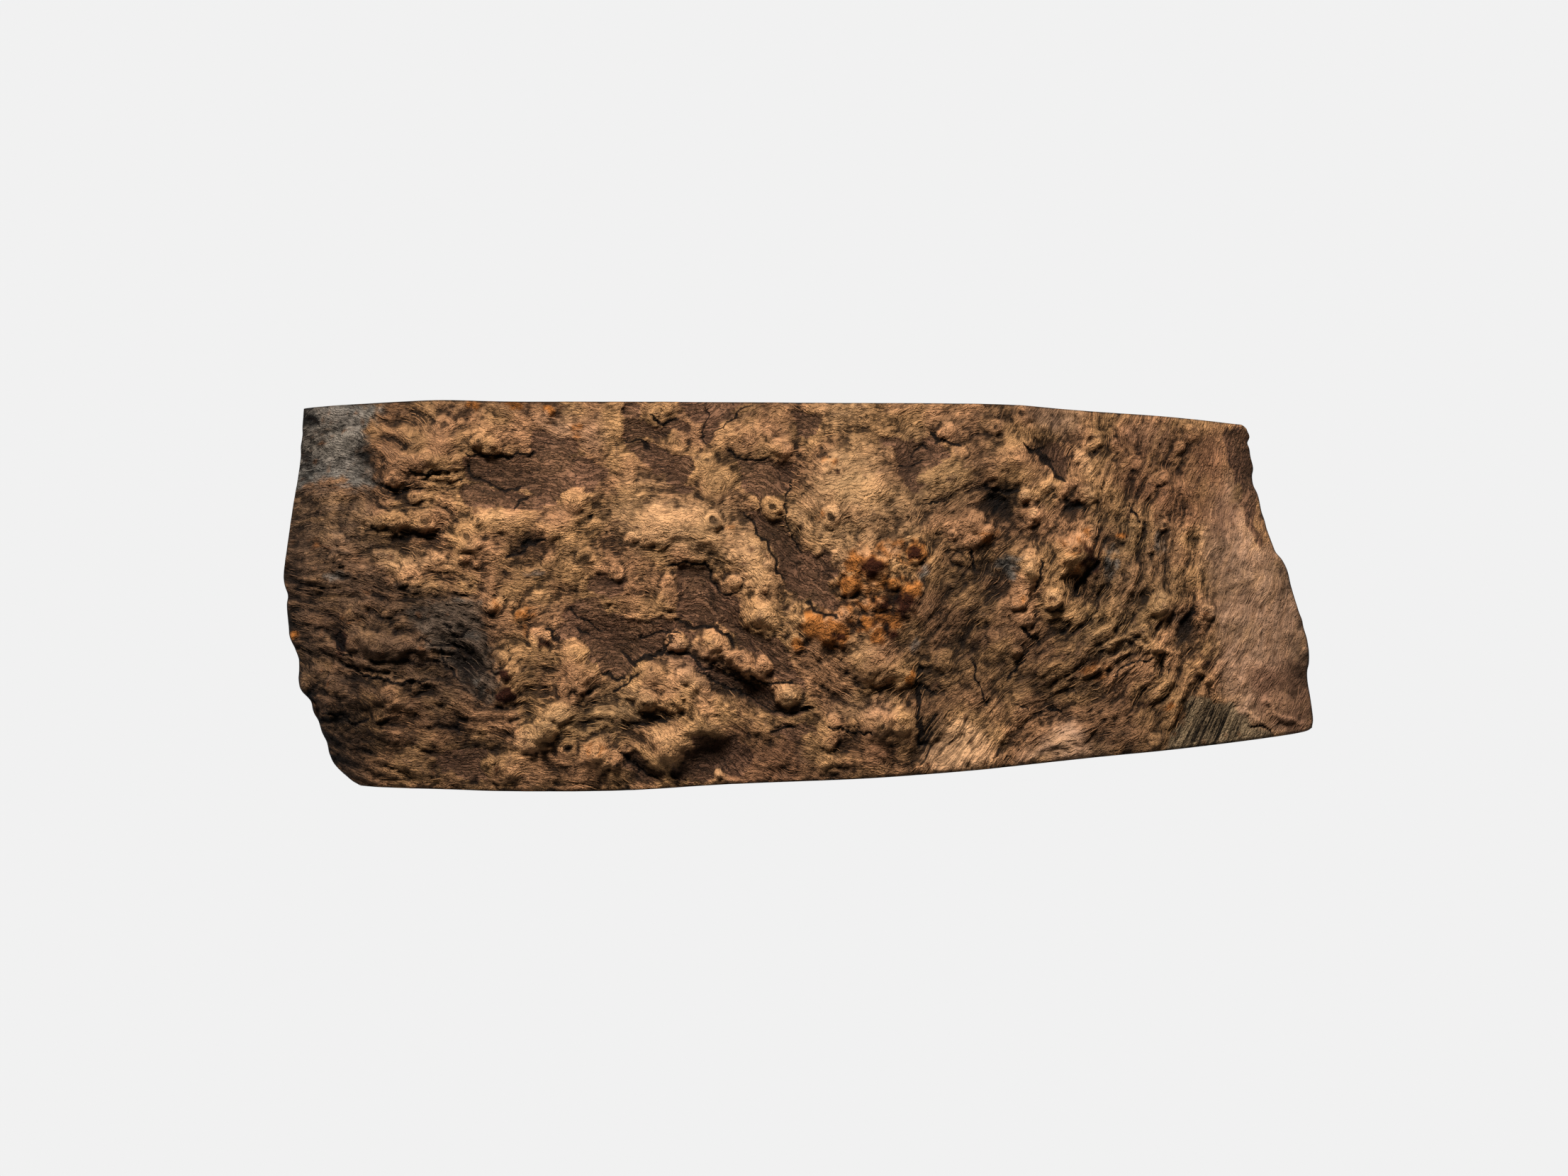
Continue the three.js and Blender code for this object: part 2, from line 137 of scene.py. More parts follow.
def smooth(low_end, high_end, values):
    """0 up to the low end, 1 from the high end, and an even rise between."""
    share = np.clip((values - low_end) / (high_end - low_end), 0, 1)
    return share * share * (3 - 2 * share)


# %% [markdown]
# ## The grid of the rough face
#
# The face is one sheet of small cells, fitted to the outline by blending its four sides across the block (a
# Coons patch). The sawn sides need few points, and the rough ends need many.

# %% The grid of the rough face
FAR_SIDE = [
    (-91.4, 34.3), (-90.4, 34.7), (-80, 35.3), (-66, 35.9), (-52, 35.6), (-24, 35.5), (4, 35.3), (28, 35.2),
    (40, 34.9), (52, 33.9), (68, 32.8), (80, 31.6), (81.8, 31.4), (82.7, 30.7),
]
NEAR_SIDE = [
    (-84, -33), (-81.6, -34.7), (-78.6, -35.3), (-64, -35.7), (-52, -36), (-32, -35.8), (-12, -34.6),
    (12, -33.6), (32, -32.1), (52, -30), (72, -28), (88, -26), (93.4, -25.1), (94.8, -24.4),
]
LEFT_END = [
    (-84, -33), (-85.7, -31.2), (-86.6, -29.3), (-87, -27.3), (-87.9, -25.4), (-88.5, -23.4), (-89.5, -21.5),
    (-90, -19.5), (-91.7, -17.6), (-92.2, -15.6), (-92.1, -13.7), (-92.2, -11.7), (-92.9, -9.8),
    (-93.8, -7.8), (-94.1, -5.9), (-94.4, -2), (-94.2, 0), (-94.8, 2), (-95, 3.9), (-94.5, 7.8),
    (-93.7, 13.7), (-93.1, 17.6), (-92.4, 21.5), (-91.9, 25.4), (-91.9, 27.3), (-91.6, 29.3), (-91.6, 31.2),
    (-91.4, 34.3),
]
RIGHT_END = [
    (94.8, -24.4), (95, -22.6), (94.5, -19), (94, -16), (93.9, -14), (94.2, -12.5), (94.2, -10.5), (93.8, -8),
    (93.2, -6), (92.9, -4.5), (92.3, -3), (91.5, -0.5), (90.8, 2), (90.2, 4.5), (89.2, 6.5), (88, 7.9),
    (87.4, 9.3), (86.4, 12), (85.9, 14), (85.4, 15.5), (84.8, 18.5), (84, 20.3), (83.8, 22), (84, 23.5),
    (83.5, 25.5), (83.3, 27), (82.9, 28.1), (83.3, 29.2), (82.7, 30.7),
]
COLUMNS = 448
ROWS = 168


def through(points, closed=False, steps=10):
    """A smooth line through the points, as many small steps."""
    points = np.array(points, float)
    if closed:
        run = np.vstack([points[-1:], points, points[:2]])
    else:
        run = np.vstack([2 * points[0] - points[1], points, 2 * points[-1] - points[-2]])
    t = np.linspace(0, 1, steps, endpoint=False)[:, None]
    curves = [
        0.5 * (2 * b + (c - a) * t + (2 * a - 5 * b + 4 * c - d) * t**2 + (3 * b - a - 3 * c + d) * t**3)
        for a, b, c, d in zip(run, run[1:], run[2:], run[3:])
    ]
    return np.vstack(curves if closed else [*curves, points[-1:]])


def even_steps(points, count):
    """The smooth line through the points, cut into equal steps."""
    line = through(points)
    run = np.concatenate([[0], np.cumsum(np.hypot(*np.diff(line, axis=0).T))])
    at = np.linspace(0, run[-1], count + 1)
    return np.column_stack([np.interp(at, run, line[:, axis]) for axis in (0, 1)])


def blended_sides():
    """The x and y of the grid's points, row by row from the near side to the far side."""
    far, near = even_steps(FAR_SIDE, COLUMNS), even_steps(NEAR_SIDE, COLUMNS)
    left, right = even_steps(LEFT_END, ROWS), even_steps(RIGHT_END, ROWS)
    u = np.linspace(0, 1, COLUMNS + 1)[None, :, None]
    v = np.linspace(0, 1, ROWS + 1)[:, None, None]
    sides = (1 - v) * near[None] + v * far[None] + (1 - u) * left[:, None] + u * right[:, None]
    corners = (1 - v) * ((1 - u) * near[0] + u * near[-1]) + v * ((1 - u) * far[0] + u * far[-1])
    grid = sides - corners
    return grid[..., 0], grid[..., 1]


x, y = blended_sides()
x += (low + high)[0] / 2 - (x.min() + x.max()) / 2
y += (low + high)[1] / 2 - (y.min() + y.max()) / 2
print("cell, mm:", round((x[0, -1] - x[0, 0]) / COLUMNS, 2))

# %% [markdown]
# ## The broad shape, from the solid
#
# The crown of the block, its lobes and its main crevices are already in the solid. Rays sent straight down
# onto it give its height under every point of the grid, and blurring those takes the facets away. So the
# fine surface always lies where the solid does.

# %% The broad shape, from the solid
FACET_BLUR = 4.5
RAY_START = 1000


def height_below(tree, px, py):
    """The solid's height under a point, in millimetres, or nothing past its edge."""
    hit = tree.ray_cast((px * MM, py * MM, RAY_START * MM), (0, 0, -1))[0]
    return hit.z / MM if hit else math.nan


def solid_heights():
    """The solid's height under the grid, without its facets."""
    mesh = solid.data
    tree = BVHTree.FromPolygons([v.co for v in mesh.vertices], [p.vertices for p in mesh.polygons])
    heights = np.array([height_below(tree, px, py) for px, py in zip(x.flat, y.flat)]).reshape(x.shape)
    known = ~np.isnan(heights)
    share = blur(known.astype(float), FACET_BLUR)
    return blur(np.where(known, heights, 0), FACET_BLUR) / np.maximum(share, 1e-6)


ground = solid_heights()
print("heights of the broad shape, mm:", ground.min().round(1), "to", ground.max().round(1))

# %% [markdown]
# ## The run of the grain
#
# The fibres of a burl flow like water: along the block at the left, down the bark valleys, upright at the
# right end, and round every knot. Their direction is given at a few places and blended between them. A smooth
# surface is then fitted whose level lines run that way, so that one number, the grain, numbers the fibres
# from side to side. Everything fibrous below is a pattern in that number.

# %% The run of the grain
# Place in millimetres and direction in degrees.
GRAIN_DIRECTIONS = [
    (-88, 27, 35), (-79, 31, -30), (-70, 27, -12), (-62, 30, -12), (-52, 33, -14), (-43, 31, -20),
    (-54, 22, 0), (-38, 25, -6), (-28, 31, 0), (-24, 25, -14), (-13, 33, 60), (-10, 29, 2), (-15, 21, 6),
    (-2, 30, -12), (-89, 15, 4), (-80, 15, -12), (-69, 17, 0), (-78, 7, -4), (-66, 8, -6), (-58, 14, 2),
    (-56, 7, -16), (-44, 13, 18), (-40, 5, 4), (-27, 12, 2), (-12, 13, -14), (-8, 7, -48), (-3, 21, -50),
    (-4, 11, -62), (3, 4, -52), (11, 30, -8), (10, 18, 14), (22, 25, 8), (27, 19, 0), (34, 30, -24),
    (39, 24, 30), (37, 15, 40), (30, 8, 62), (36, 3, 82), (43, 28, 76), (46, 13, 84), (51, 25, 112),
    (50, 8, 84), (57, 16, 76), (60, 27, 68), (66, 14, 84), (73, 26, 70), (80, 20, 88), (83, 8, 84),
    (66, 3, 76), (75, -1, 76), (86, -6, 82), (88, -18, 74), (60, -4, 62), (69, -10, 52), (62, -19, 26),
    (55, -26, 14), (50, -12, 34), (71, -26, 76), (75, -22, 82), (79, -26, 80), (40, -9, 62), (31, -3, 74),
    (30, -14, 76), (26, -27, 74), (31, -30, 88), (31, -24, 62), (36, -30, 96), (39, -28, 40), (50, -28, 12),
    (22, -20, 84), (15, -12, 4), (9, -18, 4), (15, -29, 12), (4, -26, -12), (4, -14, -22), (-3, -10, -44),
    (-9, -5, -38), (-19, -2, -14), (-15, 4, -34), (-37, -6, -28), (-29, -6, -12), (-29, -12, -28),
    (-14, -15, -36), (-5, -20, -28), (-20, -20, 2), (-29, -17, 4), (-35, -22, 0), (-45, -22, 8),
    (-44, -31, -4), (-30, -32, -46), (-20, -27, -22), (-9, -28, -24), (1, -31, -4), (-56, -24, 4),
    (-70, -25, -8), (-75, -19, -28), (-60, -33, 12), (-78, -33, -8), (-85, -27, -50), (-90, -10, -16),
    (-87, 0, -8), (-78, -8, -22), (-70, -3, -8), (-62, -8, -32), (-60, -16, -58), (-52, -10, 12),
    (-45, -8, 2), (-40, -15, 8), (-50, 0, -12), (-30, 3, -4), (8, -3, -30), (14, 6, -20), (22, 2, 30),
]

# %% From directions to fibre numbers
DIRECTION_REACH = 4.5
FAR_DIRECTION_WEIGHT = 0.02
GRAIN_STEP = 1.0
GRAIN_MARGIN = 3


def blended_direction(px, py):
    """The direction of the fibres in radians, blended from the places round a point."""
    total = np.zeros_like(px)
    weight = np.zeros_like(px)
    for cx, cy, degrees in GRAIN_DIRECTIONS:
        distance = np.hypot(px - cx, py - cy)
        near = np.exp(-0.5 * (distance / DIRECTION_REACH) ** 2) + FAR_DIRECTION_WEIGHT / (1 + distance**2)
        total += near * math.radians(degrees)
        weight += near
    return total / weight


def surface_with_slopes(slope_x, slope_y):
    """The surface whose slopes come closest to the given ones.

    This is a Poisson equation, solved with cosine waves.
    """
    source = np.zeros_like(slope_x)
    push_x = (slope_x[:, 1:] + slope_x[:, :-1]) / 2
    push_y = (slope_y[1:] + slope_y[:-1]) / 2
    source[:, :-1] += push_x
    source[:, 1:] -= push_x
    source[:-1] += push_y
    source[1:] -= push_y
    waves = []
    bends = []
    for count in source.shape:
        order = np.arange(count)
        waves.append(np.cos(np.pi * np.outer(order, order + 0.5) / count))
        bends.append(2 - 2 * np.cos(np.pi * order / count))
    share = waves[0] @ source @ waves[1].T
    bend = bends[0][:, None] + bends[1][None]
    bend[0, 0] = 1
    share = -share / bend
    share[0, 0] = 0
    for axis, count in enumerate(source.shape):
        scale = np.full(count, 2 / count)
        scale[0] = 1 / count
        share = share * (scale[:, None] if axis == 0 else scale[None])
    return waves[0].T @ share @ waves[1]


def on_grid(values, across, up):
    """Evenly spaced values read off at the grid's points."""
    column = (x - across[0]) / (across[1] - across[0])
    row = (y - up[0]) / (up[1] - up[0])
    i, j = column.astype(int), row.astype(int)
    s, t = column - i, row - j
    lower = values[j, i] * (1 - s) + values[j, i + 1] * s
    upper = values[j + 1, i] * (1 - s) + values[j + 1, i + 1] * s
    return lower * (1 - t) + upper * t


def grain_numbers():
    """The number of the fibre at each point of the grid, one to the millimetre, before the knots bend it."""
    first, last = low - GRAIN_MARGIN, high + GRAIN_MARGIN + GRAIN_STEP
    across, up = (np.arange(first[axis], last[axis], GRAIN_STEP) for axis in (0, 1))
    angle = blended_direction(*np.meshgrid(across, up))
    surface = surface_with_slopes(-np.sin(angle) * GRAIN_STEP, np.cos(angle) * GRAIN_STEP)
    return on_grid(surface, across, up)


grain = grain_numbers()
print("fibres across the block:", round(grain.max() - grain.min()))

# %% [markdown]
# ## The knots
#
# Each knot is a sleeping bud: a small dome with a groove round its foot, and often a dark eye on top. They
# are chosen one by one, because their places make the face of this block. Small knots are steep and large
# ones rounder. The fibres part round each of them, which comes from adding a dome to the grain numbers too.
# On top of a knot the grain numbers count outwards instead, so the fibres there are rings. At the end a
# soft wobble bends every fibre.

# %% The knots
# Place, radius, rise, and how dark the eye is.
KNOTS = [
    # Far side, left to right.
    (-81.5, 28.6, 2.6, 0.9, 0.2), (-68, 25.6, 3.4, 1.1, 0), (-74.5, 21.5, 2.6, 1, 0.6),
    (-65, 31.3, 2.2, 0.9, 0.7), (-59, 28.5, 1.5, 0.9, 0.6), (-56, 27.2, 1.8, 0.9, 0.4),
    (-70.5, 18.6, 1.6, 0.5, 0.5), (-45.5, 34, 1.2, 0.5, 0), (-41, 17.3, 2.2, 1, 0),
    (-25.5, 33.9, 2.4, 0.6, 0), (-22, 28.2, 2, 0.7, 0), (-16.6, 25, 1.8, 0.6, 0.7),
    (-14.8, 20.9, 3.4, 1.1, 0), (-14.2, 19.8, 0.9, 0.3, 1), (-9.5, 29, 3.2, 0.8, 0.3), (-3, 27, 2, 0.8, 0.2),
    (-4.3, 16, 2.1, 1.2, 0.9), (5.3, 24, 1.6, 0.7, 0.2), (7, 22.7, 1.1, 0.6, 0.8), (17, 25.8, 1.3, 0.5, 0.4),
    (27, 30, 1.6, 0.7, 0), (29.4, 26.4, 1.5, 0.6, 0.4), (36, 31, 1.8, 0.9, 0.8), (41, 33.4, 1.9, 0.9, 0.7),
    (39.6, 25.8, 3.2, 1.3, 0.3), (41.3, 18.3, 1.5, 1.1, 0), (43, 14.8, 1.7, 1.3, 0), (50.5, 21, 1.1, 0.8, 0),
    (49, 19.4, 1.8, 0.8, 0), (53, 18.5, 1.8, 1.2, 0), (54, 28.4, 2.2, 0.7, 0), (58.6, 27.4, 1.6, 0.6, 0.2),
    (66.5, 21.6, 1.4, 0.6, 0), (62, 24.6, 1.3, 0.5, 0), (72.6, 30, 1.8, 0.6, 0.2), (70, 27, 1.4, 0.5, 0.3),
    # Middle band.
    (-76.5, 14.4, 1.7, 1.1, 0.2), (-73.3, 13.2, 1.8, 1.1, 0), (-68.3, 13.6, 2.2, 1.2, 0.6),
    (-58.7, 13.9, 1, 0.4, 0.8), (-60.5, 11, 2.7, 0.9, 0.7), (-65.8, 6.9, 1.4, 0.8, 0.7),
    (-61.3, 6.8, 1.1, 0.7, 0), (-58.5, 5.8, 0.9, 0.6, 0), (-71, 3.3, 2.2, 0.8, 0.6),
    (-84.3, 10.3, 1.3, 0.7, 0), (-85.6, 7.2, 1, 0.6, 0), (-84.5, 5.9, 0.9, 0.5, 0),
    (-30.5, 10.6, 1.5, 0.5, 0), (-27.5, 10.2, 1.4, 0.4, 0.3), (-25, 9.8, 1.2, 0.4, 0.3),
    (-20.4, 13.5, 1, 0.5, 0.5), (-15.3, 13.9, 1.7, 0.9, 0.9), (-11.8, 7.1, 1.2, 0.6, 0.6),
    (-9.3, 7, 0.8, 0.4, 0.4), (-5.2, 5.5, 1, 0.6, 0.3), (-11.8, 2.6, 1.6, 1, 0), (-6.3, 1.8, 1, 0.6, 0.5),
    (-23.7, 2.4, 1.6, 0.9, 0), (-24, -0.5, 2, 1, 0), (-33, 4.5, 1.4, 0.6, 0.2), (-45.6, 6.3, 1.3, 0.6, 0.2),
    (-38.7, 7, 1.9, 0.8, 0.9), (6, 14.3, 2, 1, 0.9), (14, 4.9, 2.6, 1.4, 0.3), (21.5, 8, 1.9, 1.3, 0.3),
    (9.5, 1.6, 1.8, 1.1, 0), (17.5, 2.2, 1.5, 0.7, 0), (20.7, 0.9, 1.9, 0.9, 0), (19.5, -1.7, 2.1, 1.1, 0),
    (15.3, -1.4, 1.6, 0.8, 0), (12.8, -5, 1.4, 0.8, 0.3), (13, -1.5, 1.2, 0.7, 0), (8.7, -2.6, 1.4, 0.9, 0.6),
    (32.5, 13.6, 1.9, 1, 0), (34.8, 12, 1.1, 0.7, 0), (28.3, 10.8, 1, 0.5, 0.9), (29.5, 6.5, 1.2, 0.6, 0.2),
    (31.6, 10, 1.4, 0.6, 0), (50.8, 8.8, 1.4, 0.5, 1), (53.6, 11.6, 1.2, 0.6, 0), (42, 6.4, 2, 0.8, 0),
    (42.2, 3.6, 2, 1, 0), (46.5, -0.4, 2, 1.2, 0), (40.7, -1, 1.3, 0.8, 0), (42, -4.8, 1.6, 0.8, 0.3),
    (66.5, -1.5, 2.4, 1, 0), (67.2, 12.7, 1.2, 0.5, 0.9), (65.8, 8.8, 0.9, 0.6, 0.2), (75.3, -3, 1.4, 0.7, 0),
    (59.3, 10.6, 1, 0.5, 0),
    # Near side.
    (-93.3, -7.3, 1, 0.4, 0), (-82, -8.6, 1.6, 0.8, 0), (-77, -9, 3.2, 1, 0), (-69, -7, 1.1, 0.7, 0),
    (-72.5, -9.5, 1, 0.6, 0), (-69.5, -10, 0.9, 0.6, 0), (-80, -1.5, 1, 0.5, 0), (-82.5, -3.2, 1.2, 0.6, 0.3),
    (-75, -3, 1.2, 0.7, 0), (-88, -14, 1.3, 0.7, 0), (-85.5, -16.3, 1.5, 0.8, 0), (-91, -16.2, 1.9, 1, 0),
    (-87, -20.6, 2.4, 1.2, 0), (-75, -18.6, 2.4, 1.2, 0.3), (-76.6, -22.2, 1.4, 0.6, 0),
    (-69.6, -16.6, 1.2, 0.6, 0), (-55.6, -1.6, 1.7, 0.8, 0.1), (-50.6, -3.4, 1.6, 0.7, 0),
    (-47, -8, 2.1, 0.9, 0.4), (-54.6, -11.4, 1.7, 0.7, 0.2), (-52, -13.4, 1.5, 0.7, 0),
    (-55.5, -13.2, 1, 0.5, 0), (-53.5, -15.2, 1.8, 0.9, 0), (-53.6, -18.6, 2, 1.2, 0),
    (-41, -10.6, 2.5, 1.2, 0.2), (-39.5, -15, 2.6, 1.2, 0.1), (-43, -17.6, 1.3, 0.6, 0.4),
    (-39, -18, 1, 0.4, 0.9), (-44, -21.3, 2.2, 1.1, 0), (-46, -25, 2, 1.2, 0.1), (-49.4, -26.4, 2.5, 1.3, 0),
    (-42, -28.2, 1.9, 0.7, 0.9), (-37, -28.2, 2.3, 1, 0), (-34, -29.8, 2, 0.9, 0), (-33.2, -31.2, 1, 0.3, 1),
    (-54, -32, 2.6, 0.8, 0), (-57, -31, 1.4, 0.5, 0.4), (-22, -8.8, 2, 1.3, 0.2), (-15.5, -8.8, 3, 1.6, 0),
    (-14.2, -9, 0.9, 0.4, 0.9), (-10.8, -12, 2.2, 1.3, 0.5), (-9, -14, 1.3, 0.7, 0.2),
    (-6.3, -12.6, 1.6, 1.1, 0.3), (-26.8, -13.5, 2.3, 1.2, 0.5), (-20.2, -14.7, 1.8, 1.1, 0.3),
    (-17.5, -16.5, 1.9, 1.1, 0.2), (-27.6, -19.4, 2.2, 1.2, 0.3), (-28.2, -19.8, 0.9, 0.3, 0.9),
    (-23.2, -19.5, 2, 1.1, 0.5), (-23.6, -28.2, 2.8, 1.3, 0), (-23.2, -28.7, 1, 0.3, 0.8),
    (-16.6, -22.4, 2.6, 1.1, 0.1), (-14.6, -32.5, 0.9, 0.9, 0), (-1.8, -18.3, 2.3, 1.4, 0),
    (-0.2, -8.8, 1.6, 0.9, 0.2), (-6.4, -3.6, 3.4, 0.9, 0), (2.6, -5, 2.3, 0.9, 0.2), (6.6, -7, 2.8, 1, 0.4),
    (12.8, -12.2, 3.8, 1.1, 0), (13, -14, 1.1, 0.3, 0.9), (14.8, -7.2, 1.5, 0.8, 0.3),
    (17.6, -6.4, 1.1, 0.6, 0.2), (20.6, -14.8, 1.3, 0.8, 0), (14.4, -23, 2.8, 1.1, 0),
    (15.2, -24, 1.5, 0.4, 0.9), (19.2, -22.6, 2.6, 1.1, 0), (6.6, -22.8, 1.4, 0.6, 0.2),
    (5.8, -27, 1.5, 0.6, 0.3), (26.6, -11.8, 2.4, 0.6, 0.3), (39.8, -10.4, 1.6, 0.7, 0),
    (36, -7.5, 1.2, 0.5, 0.3), (65.8, -26.4, 1.5, 0.7, 0.5), (63.4, -6.6, 1.4, 0.7, 0),
    (93.4, -10.5, 1, 0.4, 0),
]

# %% The shape of a knot
LEAST_RISE = 0.3
RISE_SHARE = 0.75
# Share of the rise, and half width in radii, of a knot's dome and of the soft foot round it.
DOME = (0.85, 0.95)
FOOT = (0.3, 2)
# The power of the dome's fall goes from steep to round between these two radii.
STEEP_AND_ROUND_RADIUS = (1.8, 3)
STEEP_AND_ROUND_FALL = (2.6, 1.8)
# The groove's depth as a share of the rise, and its place and half width in radii.
KNOT_GROOVE = 0.27
GROOVE_PLACE = 1.15
GROOVE_WIDTH = 0.2
# A dark eye is a crater: its depth as a share of the rise, and its half width in radii.
CRATER = 0.6
CRATER_WIDTH = 0.45
# How far the fibres part round a knot, for each millimetre of its radius, and how wide, in radii.
GRAIN_PER_RADIUS = 0.9
PARTING_WIDTH = 1.3
RINGS_PER_MM = 1.3
# The distance of a point that has no knot near it.
NO_KNOT = 4.0
# Spacing, distance and two seeds of the random bends in a knot's outline.
KNOT_BENDS = [(3.4, 0.65, 13, 14), (1.2, 0.22, 16, 17)]
# Spacing, height and seed of the lumps on the knots, and of the wobble in the grain.
KNOT_LUMPS = [(1.7, 0.3, 18), (0.9, 0.15, 19)]
WOBBLE = [(6, 0.9, 11), (2.2, 0.26, 12), (1.1, 0.16, 15)]

# %% The knots on the grid


def moved_points(bends):
    """The grid's points, each moved a little at random. A bend is a spacing, a distance and two seeds."""
    px, py = x.copy(), y.copy()
    for spacing, far, seed_x, seed_y in bends:
        px += far * hills(spacing, seed_x, x, y)
        py += far * hills(spacing, seed_y, x, y)
    return px, py


def bump_of(distance, width, power=2):
    """1 in the middle, and a soft fall to 0 past this width."""
    return np.exp(-((distance / width) ** power))


def knot_fields():
    """The rise of the knots, the grain with their rings in it, and the nearest knot's distance, size and eye.

    The distance is counted in that knot's own radii, so 1 is its rim.
    """
    ringed = grain
    rise = np.zeros_like(x)
    nearest = np.full_like(x, NO_KNOT)
    radii = np.ones_like(x)
    eyes = np.zeros_like(x)
    bent_x, bent_y = moved_points(KNOT_BENDS)
    lumpy = 1 + layered(KNOT_LUMPS, x, y)
    for cx, cy, radius, size, eye in KNOTS:
        top = LEAST_RISE + RISE_SHARE * size
        distance = np.hypot(bent_x - cx, bent_y - cy) / radius
        fall = np.interp(radius, STEEP_AND_ROUND_RADIUS, STEEP_AND_ROUND_FALL)
        dome = DOME[0] * bump_of(distance, DOME[1], fall) + FOOT[0] * bump_of(distance, FOOT[1])
        groove = KNOT_GROOVE * min(1, STEEP_AND_ROUND_RADIUS[0] / radius)
        rise += top * lumpy * dome
        rise -= top * CRATER * eye * np.clip(1 - (distance / CRATER_WIDTH) ** 2, 0, 1)
        rise -= top * groove * bump_of(distance - GROOVE_PLACE, GROOVE_WIDTH)
        on_top = smooth(1.0, 0.5, distance)
        middle = ringed.flat[distance.argmin()]
        ringed = ringed + GRAIN_PER_RADIUS * radius * bump_of(distance, PARTING_WIDTH) * (1 - on_top)
        ringed = ringed * (1 - on_top) + (middle + RINGS_PER_MM * distance * radius) * on_top
        closer = distance < nearest
        nearest = np.where(closer, distance, nearest)
        radii = np.where(closer, radius, radii)
        eyes = np.where(closer, eye, eyes)
    return rise, ringed, nearest, radii, eyes


knot_rise, grain, knot_distance, knot_radius, knot_eye = knot_fields()
wobble = layered(WOBBLE, x, y)
grain += wobble
print("knots:", len(KNOTS), "highest, mm:", knot_rise.max().round(2))

# %% [markdown]
# ## Bark in the valleys
#
# Between the lobes the old bark is still there, as thin plates that lie a little lower than the pale wood.
# Each plate is a closed line of a few points. What is kept of it is how far each point of the grid is
# inside its edge, and the edge is frayed first by moving every point a little at random.

